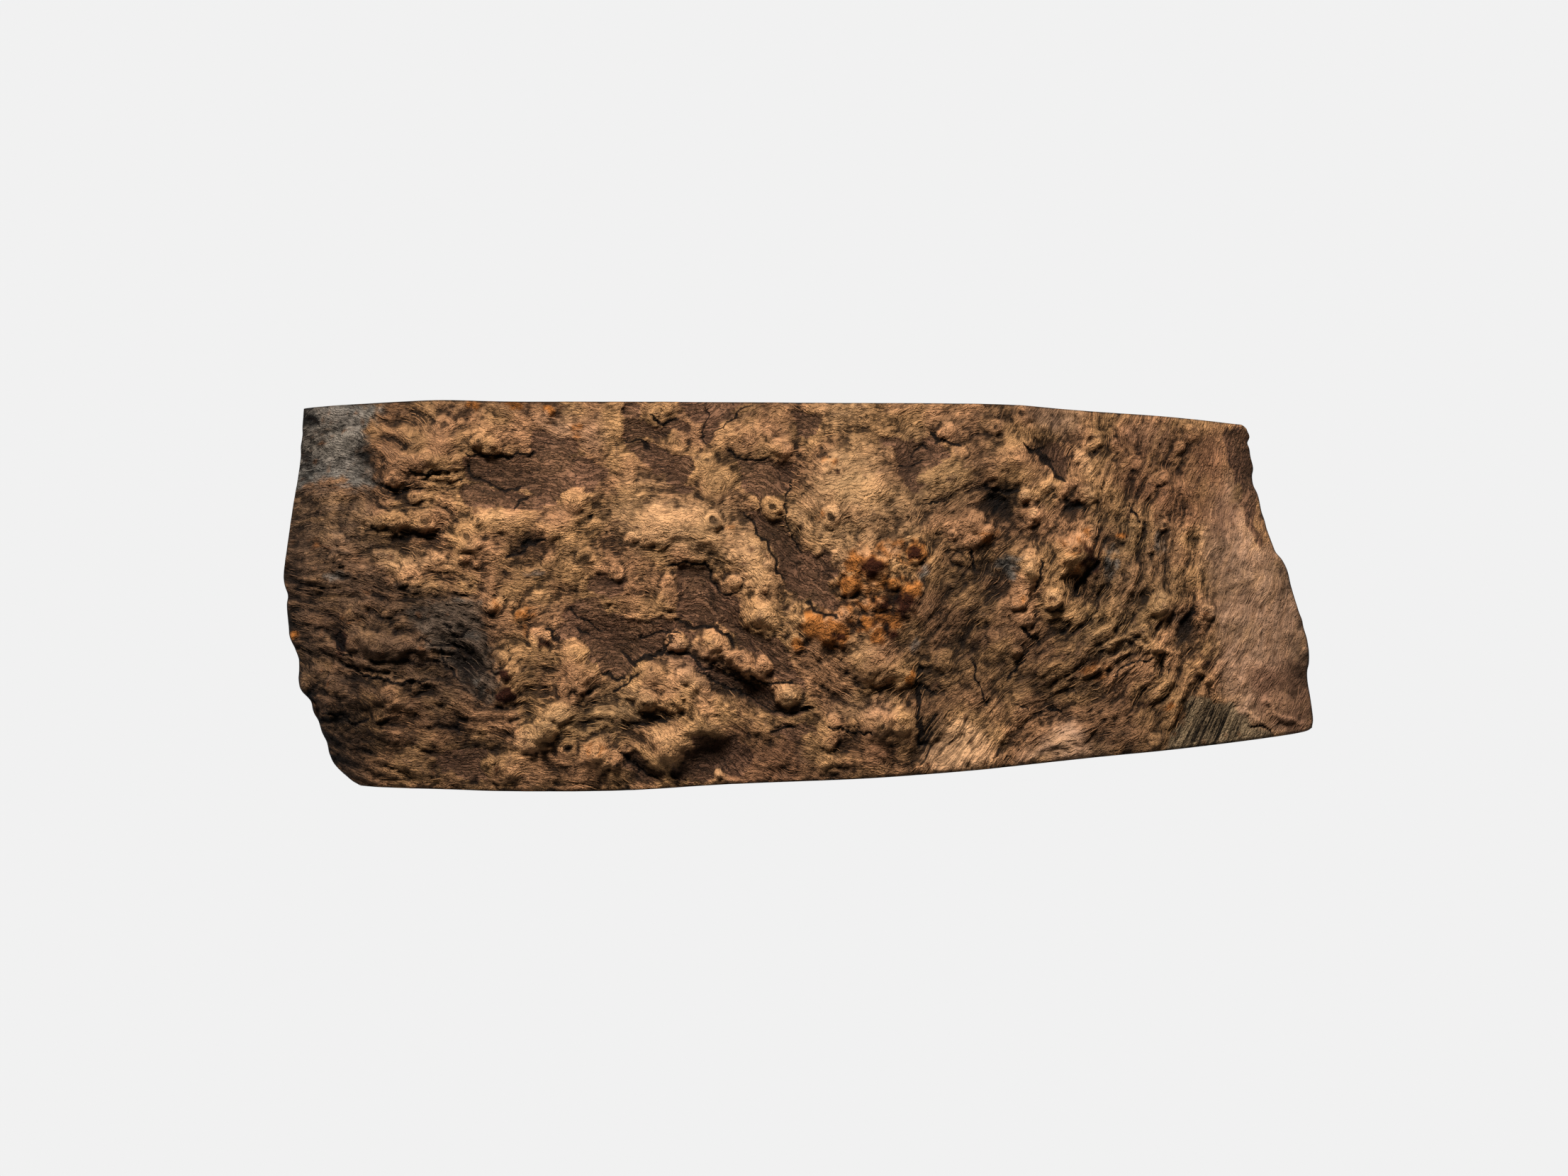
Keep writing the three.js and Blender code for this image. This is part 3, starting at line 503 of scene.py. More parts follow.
# %% Bark in the valleys
BARK_PLATES = [
    # The far side.
    [(-61.5, 26), (-57, 26), (-50, 26.3), (-48, 26.5), (-49, 19.5), (-53, 19.6), (-55.5, 20.2), (-60, 20.8),
     (-61.4, 23)],
    [(-61, 20.4), (-55, 19.2), (-48, 18.6), (-47, 16.6), (-52, 16), (-58, 16.2), (-61, 17.4)],
    [(-49, 29.5), (-46.5, 30.2), (-44, 29), (-41.5, 28.5), (-40, 27.5), (-41, 26), (-38.5, 25.5), (-38, 24.3),
     (-34, 23.5), (-34.5, 22), (-36, 21), (-37, 19.5), (-38.5, 19.2), (-41, 19.6), (-43.5, 18), (-46, 16.3),
     (-49, 17)],
    [(-32, 34.8), (-28.5, 34.5), (-28.8, 32.3), (-26, 31.8), (-21, 31.8), (-19.5, 31), (-19.5, 29.6),
     (-21, 28.8), (-24, 28.3), (-28, 28.8), (-31.5, 28.7)],
    [(-32, 28.3), (-28, 28), (-25.5, 27.5), (-22, 26.3), (-20, 25.8), (-19, 24.5), (-19.5, 22), (-21, 20.5),
     (-19, 19), (-22, 19), (-23, 20.5), (-25, 22), (-27.5, 24), (-30, 26)],
    [(-20.5, 35.8), (-9, 35.8), (-11.5, 33), (-14.5, 31), (-15, 29.5), (-16, 27.8), (-17, 28), (-17, 32),
     (-19, 32.5)],
    [(-0.4, 33.2), (3.6, 33), (4.2, 30.4), (3.2, 28.8), (0.4, 29.4)],
    [(-10.5, 25.2), (-6, 25.5), (-4.5, 24), (-2, 24.5), (0, 23.5), (-1.5, 20.5), (-2.6, 17), (-2.8, 13.5),
     (-1.6, 10.5), (1, 8), (5, 8), (6.5, 6.5), (7.8, 5), (7, 3.5), (5.5, 2), (7, -1), (6.5, -3.5), (2, -1),
     (-1.5, 1.3), (-3.3, 4), (-3.6, 6), (-4.5, 8.5), (-6.5, 11), (-8.8, 13.5), (-8.5, 14.5), (-7, 16),
     (-7.5, 18), (-9.5, 19), (-10.5, 21), (-10, 23)],
    [(14.5, 28.5), (18, 25), (18.5, 23), (19, 21.5), (21, 19.3), (22.5, 20), (22.5, 22), (24, 23.5),
     (26.5, 25), (28, 26), (26.5, 27), (24.5, 29), (22, 28), (18.5, 28.5), (16, 29.5)],
    [(44.6, 28.2), (47, 28), (49.4, 25.4), (49.8, 22.4), (47.6, 22), (45.6, 24.6)],
    [(79, 30.8), (83, 30.8), (83.6, 27), (84.4, 23), (84.6, 19.5), (85.2, 16.5), (84, 15), (84.2, 12),
     (85.8, 10), (84.5, 9.5), (82.8, 12), (81.8, 16), (81.8, 19), (80.5, 21), (80, 24), (79, 27)],
    # The middle band and the near side.
    [(-38.4, 2.8), (-36.5, 4), (-34.5, 3), (-31.6, 3), (-32.4, 0.6), (-37.4, 0.2)],
    [(-66, -30), (-64, -28.6), (-60, -28), (-57.5, -29), (-57, -31), (-57.3, -33.5), (-59.5, -34.8),
     (-62, -33), (-65.5, -32)],
    [(-43.6, -28), (-42, -26.4), (-40.4, -28), (-42, -29.8)],
    [(-42, -1.5), (-37, -0.5), (-35, -3), (-30, -4.2), (-24.5, -4), (-21.5, -4.5), (-19, -6), (-15.5, -6.2),
     (-17.5, -8.5), (-20, -9), (-22.5, -7.3), (-24, -8), (-24.7, -10), (-27, -11), (-29.5, -12), (-31, -14),
     (-32, -15.3), (-33.5, -14.7), (-35.5, -14), (-37, -12.5), (-38.5, -11), (-40, -9.5), (-42, -9.3),
     (-43.5, -8.5), (-45, -7), (-44.5, -6), (-42, -5.5), (-43, -4)],
    [(-22.5, 5), (-16.5, 4.8), (-13.5, 0.5), (-11, -1), (-9.5, -4), (-7, -6.5), (-3, -8), (-1.5, -11),
     (0, -14), (2, -18), (-1, -17), (-5, -14.5), (-6, -12), (-8, -11), (-10, -9.5), (-12, -7), (-14.5, -6),
     (-18, -5.8), (-20, -5), (-21.5, -4), (-22.8, 0)],
    [(-23.8, -10.4), (-18.4, -11.2), (-14, -13.6), (-9, -15.6), (-4.4, -17.2), (-2.4, -20.6), (0.8, -20.6),
     (-1, -22.2), (-5, -22), (-9, -18.8), (-14.6, -15.4), (-19, -12.8)],
    [(-31.6, -29.6), (-29.4, -28.8), (-26.6, -31.6), (-24, -33.4), (-27, -34.2), (-30, -32)],
    [(-19, -26.4), (-14, -26), (-11, -27), (-8, -29.4), (-10, -32.4), (-15, -33.4), (-22, -34), (-23, -31),
     (-19.5, -28)],
    [(-4, -24.4), (1, -23.4), (3, -24.6), (0, -25.8), (-4, -25.6)],
]

# %% How deep inside an outline
# Spacing, distance and two seeds of the random bends that make every drawn edge look torn.
FRAY = [(4, 0.8, 21, 22), (1.8, 0.5, 23, 24), (0.9, 0.25, 25, 26)]
# How far tongues of bark reach past its edge, and their width, length and seed.
TONGUE_REACH = 0.7
TONGUES = (0.9, 3, 23)
BARK_DEPTH = 0.45
# How far the bark's edge is pushed back by a knot, so that every knot stands free of it.
KNOT_CLEARING = 3


def off_step(px, py, start, end):
    """How far each point is from a straight step, and 1 where it is to the left of it or -1 to the right."""
    run_x, run_y = end - start
    share = ((px - start[0]) * run_x + (py - start[1]) * run_y) / max(run_x**2 + run_y**2, 1e-9)
    share = np.clip(share, 0, 1)
    off_x, off_y = px - start[0] - share * run_x, py - start[1] - share * run_y
    return np.hypot(off_x, off_y), np.sign(run_x * off_y - run_y * off_x)


def distance_to_line(px, py, line):
    """How far each point is from a line of short straight steps."""
    return np.min([off_step(px, py, start, end)[0] for start, end in zip(line, line[1:])], axis=0)


def inside_line(px, py, line):
    """Whether each point is inside a closed line, by counting how often the line passes to its right."""
    inside = np.zeros(px.shape, bool)
    for (ax, ay), (bx, by) in zip(line, np.roll(line, -1, axis=0)):
        if ay != by:
            crosses = (ay > py) != (by > py)
            inside ^= crosses & (px < ax + (py - ay) * (bx - ax) / (by - ay))
    return inside


def near_points(px, py, line, reach):
    """The points within reach of a line's box, so that small marks are quick to work out."""
    left, down = line.min(axis=0) - reach
    right, up = line.max(axis=0) + reach
    return (px > left) & (px < right) & (py > down) & (py < up)


def depth_inside(px, py, outlines, reach=4):
    """How far each point is inside the nearest outline, in millimetres, and below 0 outside them all."""
    depth = np.full(px.shape, -float(reach))
    for outline in outlines:
        line = through(outline, closed=True, steps=4)
        chosen = near_points(px, py, line, reach)
        qx, qy = px[chosen], py[chosen]
        distance = distance_to_line(qx, qy, np.vstack([line, line[:1]]))
        signed = np.where(inside_line(qx, qy, line), distance, -distance)
        depth[chosen] = np.maximum(depth[chosen], signed)
    return depth


def along_grain(width, length, seed):
    """Soft random hills drawn out along the fibres, with this width and length."""
    return hills(1, seed, grain / width, x / length, y / length)


# %% Where the bark is
torn_x, torn_y = moved_points(FRAY)
bark = depth_inside(torn_x, torn_y, BARK_PLATES) + TONGUE_REACH * along_grain(*TONGUES)
bark -= KNOT_CLEARING * smooth(1.35, 0.95, knot_distance)
print("share of bark:", (bark > 0).mean().round(2))

# %% [markdown]
# ## Cracks
#
# The bark has shrunk away from the wood, so cracks run along its edges and through it, and the weathered wood
# has split too. Each crack is a line of a few points with a width, and it is cut into the surface as a
# groove. The material paints each crack near-black, as the shade inside the gap.

# %% Cracks
# Half width and points.
CRACKS = [
    (0.5, [(-60.8, 24), (-60.2, 22), (-59.4, 21), (-57, 20.8), (-55.5, 20.3), (-54.5, 19.6), (-52, 19.5),
           (-51.2, 19.8)]),
    (0.35, [(-60, 26.4), (-57, 25.6), (-53, 25.8), (-48, 26.6)]),
    (0.3, [(-51.8, 16.2), (-51, 17.3), (-49.8, 18)]),
    (0.3, [(-71, 23.3), (-68, 22.6), (-64, 22.3)]),
    (0.5, [(-76.5, 20.5), (-74, 19.6), (-72, 19.3)]),
    (0.4, [(-26.4, 32.6), (-25, 31.6), (-22.5, 31.8)]),
    (0.3, [(-31.5, 28.6), (-29, 28.4), (-27, 27.5)]),
    (0.25, [(-14.8, 30.2), (-13, 31.5), (-10.5, 33), (-8.5, 34.5)]),
    (0.2, [(-16.9, 35), (-16.7, 31), (-16.6, 28.4)]),
    (0.35, [(-24, 5.8), (-21, 6), (-17.5, 6), (-16.8, 5), (-15.8, 3.5), (-14.8, 2), (-13, 0.6),
            (-11.5, 0.4)]),
    (0.35, [(18.5, 23.5), (21, 23.8), (22.5, 24.6)]),
    (0.4, [(21.5, 27), (23.5, 27.3)]),
    (0.3, [(23.5, 17), (25.5, 17.5)]),
    (0.4, [(24.5, 29.5), (25.8, 28.1), (29.5, 28.1)]),
    (0.4, [(41.8, 27.6), (43, 27), (43.8, 26.7)]),
    (0.75, [(44.6, 27), (45, 25.4), (46.2, 23.5), (47.3, 22), (49, 21.6)]),
    (0.6, [(34, 19.8), (36, 19.3), (38.5, 18.9), (40, 19.2)]),
    (0.4, [(31.8, 8), (32, 5)]),
    (0.35, [(61, 16), (62, 14.5), (63.5, 13.7)]),
    (0.5, [(-83.5, -13), (-79, -15), (-74, -15.6), (-70, -16), (-68, -15.2)]),
    (0.5, [(-22, -4), (-20.5, -4.8), (-19.3, -5.6), (-17, -5.7), (-15, -6), (-13, -7.3), (-11.6, -8.8)]),
    (0.35, [(-41.5, -2.5), (-40.5, -3.7), (-38, -5), (-36.5, -6)]),
    (0.3, [(-69, -8), (-66, -9.4), (-63, -8.6), (-60, -10.4)]),
    (0.3, [(-65, -5.5), (-62, -7), (-59.6, -6)]),
    (0.3, [(-63, -8.6), (-61.6, -12), (-58.6, -13.4)]),
    (0.3, [(-66, -9.4), (-64.6, -13), (-60.6, -16)]),
    (0.5, [(-46, -6.5), (-44.8, -7.5), (-44, -8)]),
    (0.3, [(-40.5, -6.5), (-39, -7.8)]),
    (0.35, [(-28.5, -7.3), (-26.5, -7.8), (-24.5, -7), (-22.3, -6.4)]),
    (0.5, [(-31.5, -10), (-30.3, -11.2), (-30, -12), (-28, -11.6), (-26.5, -10.7), (-25, -10.3),
           (-24.2, -8.5), (-23, -7.5)]),
    (0.4, [(-35.5, -14), (-34, -14.6), (-32, -15.2)]),
    (0.35, [(-33, -17.2), (-31, -16), (-29, -14)]),
    (0.5, [(-24, -10.5), (-22, -11), (-20, -10.5), (-18.5, -11.8), (-17, -12.6), (-15.5, -12.8)]),
    (0.3, [(-14, -13.5), (-12, -15), (-10, -16), (-8, -16.8)]),
    (0.36, [(-18, -13.5), (-14, -16), (-11, -18), (-8, -18.5), (-6.5, -20), (-4.5, -21.5), (-2, -21.8),
            (0, -21.3)]),
    (0.35, [(-8.5, -14.8), (-5, -15.8), (-1, -16.5)]),
    (0.6, [(-31, -23), (-29.5, -23.3), (-27, -23), (-24.5, -23)]),
    (0.45, [(-33, -28.5), (-30.5, -30.5), (-28, -32.5), (-26, -33.5)]),
    (0.3, [(-5, -24.5), (-3, -24.8), (-1, -24.2)]),
    (0.45, [(1.5, -1.5), (3, -1.8), (4.2, -3), (5.2, -4), (6.8, -4.1)]),
    (0.3, [(6, -24), (10, -24.5), (13, -25.5)]),
    (0.6, [(22, -12.6), (22.3, -16), (21.7, -18.5), (22, -21), (22.3, -24), (23, -26.8)]),
    (0.4, [(22.3, -16), (23.3, -17.3), (24.3, -18)]),
    (0.3, [(32.2, -12.2), (32.5, -14), (34, -17), (34.8, -19.5)]),
    (0.4, [(41, -6), (42.5, -7.3), (44, -8), (44.5, -9)]),
    (0.45, [(42, -10), (40, -14), (38.5, -15.5)]),
    (0.3, [(39.5, -19.8), (41, -20.2), (42, -21)]),
    (0.4, [(46, -20.5), (47.5, -21.5)]),
    (0.35, [(83.5, -23.8), (85, -24.3), (86.5, -25.2)]),
    (0.3, [(58, -15), (60, -13), (62.5, -12), (65.5, -11.5)]),
    (0.6, [(54.2, 6), (52.6, 3.4), (51.2, 0)]),
    (0.4, [(44.6, 6), (44.4, 3), (43.6, 1)]),
    (0.45, [(-88, -22.2), (-85, -22.4), (-82, -23.4), (-79.6, -23)]),
    (0.35, [(-84, -6.4), (-85, -9), (-82.4, -11)]),
    (0.3, [(-90.5, 32.8), (-88, 31.8)]),
    (0.35, [(-9, 14.2), (-7.4, 11.8), (-5.4, 9.2), (-4, 5.8), (-3, 3)]),
    (0.25, [(-1.2, 20.6), (-2.4, 16.6), (-2.7, 13.6), (-1.4, 10.4), (1.4, 8)]),
    (0.4, [(-47, 10.4), (-50, 8.6), (-53, 6.8)]),
    (0.3, [(-13, 26.4), (-9, 24.8), (-6, 25.4)]),
]

# %% Near a crack, and on which side
CRACK_DEPTH = 0.5
# The share of its half width that a crack keeps, and how far from it a point still counts as near.
CRACK_NARROWING = 0.62
CRACK_REACH = 1.6
# The side of a point that has no crack near it.
NO_CRACK = 9.0


def crack_fields(px, py):
    """How near each point is to a crack, and how many half widths it is to the left or right of it.

    The side is what makes a crack thinner than a cell of the grid: it passes through 0 just on the crack.
    """
    near = np.zeros(px.shape)
    side = np.full(px.shape, NO_CRACK)
    for half_width, points in CRACKS:
        line = np.array(points, float)
        chosen = near_points(px, py, line, CRACK_REACH)
        for start, end in zip(line, line[1:]):
            distance, left = off_step(px[chosen], py[chosen], start, end)
            nearness = np.clip(1 - distance / CRACK_REACH, 0, 1)
            nearer = nearness > near[chosen]
            near[chosen] = np.where(nearer, nearness, near[chosen])
            side[chosen] = np.where(nearer, left * distance / (CRACK_NARROWING * half_width), side[chosen])
    return near, side


crack_near, crack_side = crack_fields(torn_x, torn_y)
crack = smooth(1.5, 0.2, np.abs(crack_side))
print("share of cracks:", (np.abs(crack_side) < 1).mean().round(3))

# %% [markdown]
# ## Soft spots
#
# The rest of the face is lists of soft oval spots: each has a place, two half lengths, a strength and
# sometimes a turn in degrees. Some sink the surface and are painted black inside as shade, some raise it, and
# some only stain it. Their edges are torn in the same way as the bark's.

# %% Soft spots


def spot(px, py, cx, cy, half_long, half_wide, turn=0):
    """1 in the middle of an oval spot, falling to 0 at its rim."""
    angle = math.radians(turn)
    along = (px - cx) * math.cos(angle) + (py - cy) * math.sin(angle)
    across = (py - cy) * math.cos(angle) - (px - cx) * math.sin(angle)
    return np.clip(1 - (along / half_long) ** 2 - (across / half_wide) ** 2, 0, 1)


def spot_fields(spots, power):
    """Each spot times its strength, with its fall made steeper or rounder by a power."""
    for cx, cy, half_long, half_wide, strength, *turn in spots:
        yield strength * spot(torn_x, torn_y, cx, cy, half_long, half_wide, *turn) ** power


def strongest(spots, power):
    """The strongest of several spots at each point."""
    field = np.zeros_like(x)
    for spot_field in spot_fields(spots, power):
        field = np.maximum(field, spot_field)
    return field


# %% [markdown]
# ## Hollows and swells
#
# Hollows are holes and clefts between the lobes, partly bridged by strands of fibre. Swells are lobes and
# ridges that the solid is too coarse for. One plate near the lower right corner is different: the wood has
# split there along straight fibres. So the wobble that went into the grain is taken out of it again.

# %% Hollows
# Place, half lengths, share of the depth below, turn.
HOLLOWS = [
    (-90.4, 32.5, 2, 1.1, 1, -15), (-79.6, 27.6, 1.2, 1.3, 1), (-80.4, 29.6, 1.1, 0.8, 0.6, 40),
    (-83, 32.3, 0.8, 0.6, 0.6), (-84, 5, 0.9, 0.8, 0.8), (-84.8, 8.9, 0.6, 0.7, 0.7),
    (-91.8, 1.5, 1.6, 0.8, 0.8), (-50, 9.6, 3.4, 1.1, 1.2, 38), (-48, 10.8, 1.1, 1.1, 0.8),
    (-37.8, 14.2, 0.8, 1.2, 0.9), (-39, 6.2, 1.5, 0.9, 0.9), (-39.2, 26.1, 0.6, 0.5, 0.8),
    (-35, 2.2, 2.2, 1, 0.6), (-27.8, 10.5, 0.6, 0.6, 0.5), (-30.5, 9, 1, 0.5, 0.5),
    (-20.3, 26.8, 0.5, 0.4, 0.6), (-5.6, 29, 0.6, 0.5, 0.7), (-1.5, 25.6, 0.5, 0.5, 0.6),
    (-13.6, 11.8, 0.9, 1.4, 0.9, 20), (-39.4, 16.4, 0.9, 0.7, 0.8), (15.3, 17.3, 0.6, 0.4, 0.6),
    (18, 18.7, 0.6, 0.4, 0.6), (14, 16.2, 0.5, 0.4, 0.5), (15.8, 13.3, 0.8, 0.5, 0.9),
    (13.3, 13.8, 0.6, 0.4, 0.6), (16.6, 11, 0.6, 0.5, 0.5), (20.2, 11.5, 0.7, 0.5, 0.6),
    (8.4, 13.4, 1.2, 1, 0.7), (30, 30.4, 0.6, 0.5, 0.6), (36.6, 16.6, 3.2, 2.2, 1.2, -20),
    (38.8, 20.4, 1.8, 0.8, 0.9), (30, 4, 2, 3.4, 0.9, 10), (49.5, 17, 0.9, 1.2, 1), (53, 15.8, 1.3, 0.8, 1),
    (51, 17, 1.6, 1.2, 0.7), (57.8, 9.9, 1.7, 0.8, 1.3, -30), (-84, -8.6, 1, 2.2, 0.9, 10),
    (-74.3, -4.4, 1.3, 0.7, 0.8, -20), (-84.4, -23, 4, 1.4, 1, -10), (-89.5, -18.6, 1, 0.7, 0.8),
    (-79, -28.8, 2.2, 0.7, 0.7, -8), (-63.4, -24.2, 3.2, 1.3, 1, -18), (-59, -34.4, 1.3, 0.7, 0.9),
    (-54, -21, 2, 0.8, 1), (-46, -8.9, 1.2, 0.8, 0.8, -30), (-12.6, 0.6, 1.5, 0.7, 0.9, -10),
    (-23.5, 1, 1.4, 0.6, 0.7), (-24, -2.5, 1.8, 0.7, 0.8), (-21.8, -10.6, 1.8, 0.6, 0.6),
    (-16.6, -28.6, 4.2, 1.4, 0.6, 12), (-22.2, -32.2, 3, 1, 1.1), (1, -21, 2.5, 0.7, 1.2, 8),
    (1.5, -23, 1.2, 0.5, 0.6), (5.4, -19, 1.8, 0.5, 0.6, -15), (6.5, -2.3, 0.6, 0.5, 0.7),
    (6.5, -33.1, 1.6, 0.8, 1), (17, -30.5, 1, 0.6, 0.6), (23.5, -26.8, 1, 0.7, 1.2),
    (25, -7, 1.3, 0.5, 0.6, 30), (37.3, -18.6, 0.8, 0.6, 0.8), (48.4, -6, 1.6, 1.2, 1.4),
    (48.2, -3.2, 1.5, 0.7, 1), (51.8, -15.3, 1.4, 0.6, 0.7), (60.5, -9, 0.8, 0.5, 0.6),
    (63.3, -0.6, 0.7, 0.7, 0.6), (71.8, -8.6, 0.7, 0.8, 0.7), (72, -10.4, 0.8, 0.5, 0.6),
    (69, -4, 1.1, 0.9, 0.8, -30), (71.6, -4, 1.6, 3.4, 0.8, 10), (92.6, -5.7, 0.9, 0.6, 0.7),
    (54.2, 5.6, 1, 1.6, 0.9, 25), (64, 26.5, 0.8, 0.5, 0.6, 20), (68.8, 26.5, 0.9, 0.5, 0.6, 20),
    (63.5, 24.8, 0.8, 0.5, 0.5), (70.5, 18.4, 0.8, 0.5, 0.7), (73.2, 18.4, 0.6, 0.4, 0.5),
    (72, 24, 0.9, 0.4, 0.5), (61.6, 30.4, 1.4, 0.8, 0.6, -20), (27.6, 8.4, 1, 1.2, 0.8),
    (-14.2, -10.8, 1.8, 0.6, 0.5, -30), (-9, -16.4, 2.6, 0.7, 0.3, -25), (-78, 11.8, 1.8, 0.8, 1.1),
    (-72.6, 10.8, 2.4, 0.8, 1.3, -8), (-67.6, 11, 1.8, 0.7, 1.1, 8), (-57, 25.4, 2.2, 0.5, 0.7, -5),
    (-64.6, 29.8, 2.4, 0.5, 0.6), (43.6, 12.6, 1.4, 0.7, 0.9), (41.6, 16.4, 1.4, 0.7, 0.9),
    (47.6, -3, 1.6, 0.7, 0.9),
]

# %% Swells
# Place, half lengths, height, turn.
SWELLS = [
    (-70, 24.6, 9, 6, 0.8, -8), (-26, 13.4, 9, 5.6, 0.3, -5), (-21, 6.8, 8, 2.4, 0.5, -12),
    (-6.5, -3.6, 3.8, 3, 0.8, -20), (-44, -22.6, 5, 3.4, 0.9), (-55, 13.8, 7, 1.8, 0.7),
    (-72, -15.4, 9, 0.8, 0.8, -8), (-60, 9.2, 7, 1.8, 0.7, -8), (66, -9.6, 6, 0.9, 0.9, -18),
    (75, -14.6, 3.4, 0.9, 0.8, -55), (58, -8.6, 3.6, 0.8, 0.7, 24), (59, -11, 4.4, 0.8, 0.7, 24),
    (57, -13.2, 3.6, 0.8, 0.6, 24), (52.4, 24.6, 4, 1.3, 0.8, -62), (90, -22.4, 4.6, 0.8, 0.7, -24),
    (83.6, -22, 2.6, 0.7, 0.6, -60), (86, -19.6, 2.4, 0.7, 0.5, -40), (61, 3, 0.9, 5, 0.6, -14),
    (64.5, 4, 0.8, 5, 0.5, -10), (58.4, 2, 0.8, 5, 0.5, -16), (-87, -8, 4, 1.2, 0.6, -18),
    (-76, -8.6, 6, 2.4, 0.6, -8), (42.2, 5, 1.4, 3.4, 0.8, 10), (50.6, 8, 3.8, 4.4, 1.3),
    (8, -30, 5, 1.4, 0.6, 8), (14, -28.6, 3, 1, 0.5, -10), (-30, 33, 2.4, 1.2, 0.4), (-33, -21.5, 6, 3, 0.8),
    (9, 18, 8, 7, 0.35), (-44.6, 12.6, 5, 2.2, 0.6, 14),
]

# %% The striped plate, hollows and swells on the grid
HOLLOW_DEPTH = 0.55
# Width, length and seed of the strands over a hollow, and how much of its depth they leave.
STRANDS = (1.1, 6, 24)
UNDER_STRAND = 0.35
# The plate of straight fibres, how soft its edge is, and how much of the wobble is taken out on it.
STRIPED_PLATE = [
    (72, -18.2), (76, -19.4), (80, -20), (82, -22), (84, -24), (86.6, -26.4), (77, -27.6), (68, -28.6),
    (67.5, -28.6), (70, -24), (71.4, -21),
]
PLATE_EDGE = 0.6
PLATE_STRAIGHTNESS = 0.95
# How far outside a region its depth is worked out.
REGION_REACH = 6

plate_depth = depth_inside(torn_x, torn_y, [STRIPED_PLATE], reach=REGION_REACH)
on_plate = smooth(-PLATE_EDGE, PLATE_EDGE, plate_depth)
grain -= PLATE_STRAIGHTNESS * on_plate * wobble
open_share = smooth(0.3, -0.2, along_grain(*STRANDS))
hollow = strongest(HOLLOWS, power=1.1) * (UNDER_STRAND + (1 - UNDER_STRAND) * open_share)
swell = sum(spot_fields(SWELLS, power=1.3))
print("share of hollows:", (hollow > 0.3).mean().round(3), "highest swell, mm:", swell.max().round(1))

# %% [markdown]
# ## The height of the face
#
# The fibres lie in bundles with sharp grooves between them. Hills folded upwards where they cross zero give
# just that: round tops and narrow grooves. They are deep in the folded regions, shallow in bark and at the
# smooth right end, and nearly gone on the striped plate. All is then added up in one height: the broad
# shape from the solid, knots, swells and bundles, less the bark's depth, the cracks and the hollows. The
# rim is rounded off by half a millimetre.

# %% Bundles, mounds and folds
# Width, length and rise of the bundles, and seed.
BUNDLES = [(4.5, 18, 1.3, 31), (2.6, 11, 1.4, 32), (1.4, 7, 0.7, 33), (0.9, 5, 0.3, 34)]
# Spacing, rise and seed of the mounds between them, and of the grit all over.
MOUNDS = [(9, 1, 43), (5.5, 0.6, 44), (2.9, 0.4, 45), (1.5, 0.25, 46)]
GRIT = [(0.9, 0.16, 42)]
# Where the fibres lie in long folds: place, half lengths, strength, turn.
FOLDS = [
    (-76, -3, 24, 14, 0.75), (-76, -24, 30, 20, 0.75), (-70, 22, 13, 15, 0.9), (-48, -18, 16, 14, 0.5),
    (-63, -9, 9, 10, 0.9, -20), (60, 0, 22, 36, 0.75), (62, -16, 16, 12, 0.9), (12, -16, 16, 9, 0.6),
    (-20, -26, 20, 10, 0.45), (40, -26, 20, 12, 0.4), (88, -10, 12, 30, 0.3), (30, 8, 12, 18, 0.45),
    (-12, -8, 14, 9, 0.5, -35),
]
# How far the rim is rounded off, and how fast that fades from cell to cell.
RIM_ROUNDING = 0.5
RIM_FADE = 1.4
KNOT_HEIGHT = 0.88
BARK_EDGE = 0.6
# Where the smooth right end begins and is fully smooth, and how far it leans.
SMOOTH_END = (74, 82)
SMOOTH_END_LEAN = 0.25
LEAST_FOLDED = 0.14
FOLDING = 0.8
# How much of the relief is gone at the smooth end and on the striped plate.
END_CALM = 0.5
PLATE_CALM = 0.85
# How much of the mounds is gone in bark and in folds, and how much of the bundles in bark.
MOUND_BARK_CALM = 0.75
MOUND_FOLD_CALM = 0.3
BUNDLE_BARK_CALM = 0.7


def bundles(width, length, seed):
    """Round-topped ridges along the grain with sharp grooves between them, around zero."""
    return np.abs(along_grain(width, length, seed)) ** 0.8 - 0.4


def from_ends(count):
    """How many cells each step of a row of cells is from the nearer end."""
    steps = np.arange(count + 1)
    return np.minimum(steps, count - steps)


# %% The height of the face
ripple = sum(rise * bundles(width, length, seed) for width, length, rise, seed in BUNDLES)
mounds = sum(rise * (np.abs(hills(spacing, seed, x, y)) - 0.3) for spacing, rise, seed in MOUNDS)
smooth_end = smooth(*SMOOTH_END, x + SMOOTH_END_LEAN * y)
folded = LEAST_FOLDED + strongest(FOLDS, power=0.5) * FOLDING
in_bark = smooth(-BARK_EDGE, BARK_EDGE, bark)
rough = (1 - END_CALM * smooth_end) * (1 - PLATE_CALM * on_plate)
lumps = mounds * (1 - MOUND_BARK_CALM * in_bark) * (1 - MOUND_FOLD_CALM * folded) + layered(GRIT, x, y)
cells_from_rim = np.minimum(from_ends(COLUMNS)[None, :], from_ends(ROWS)[:, None])
rim_fall = RIM_ROUNDING * np.exp(-RIM_FADE * cells_from_rim)

height = ground + KNOT_HEIGHT * knot_rise + swell
height += (lumps + ripple * folded * (1 - BUNDLE_BARK_CALM * in_bark)) * rough
height -= BARK_DEPTH * in_bark
height -= CRACK_DEPTH * crack
height -= HOLLOW_DEPTH * hollow
height -= rim_fall
print("crown, mm:", height.max().round(1))
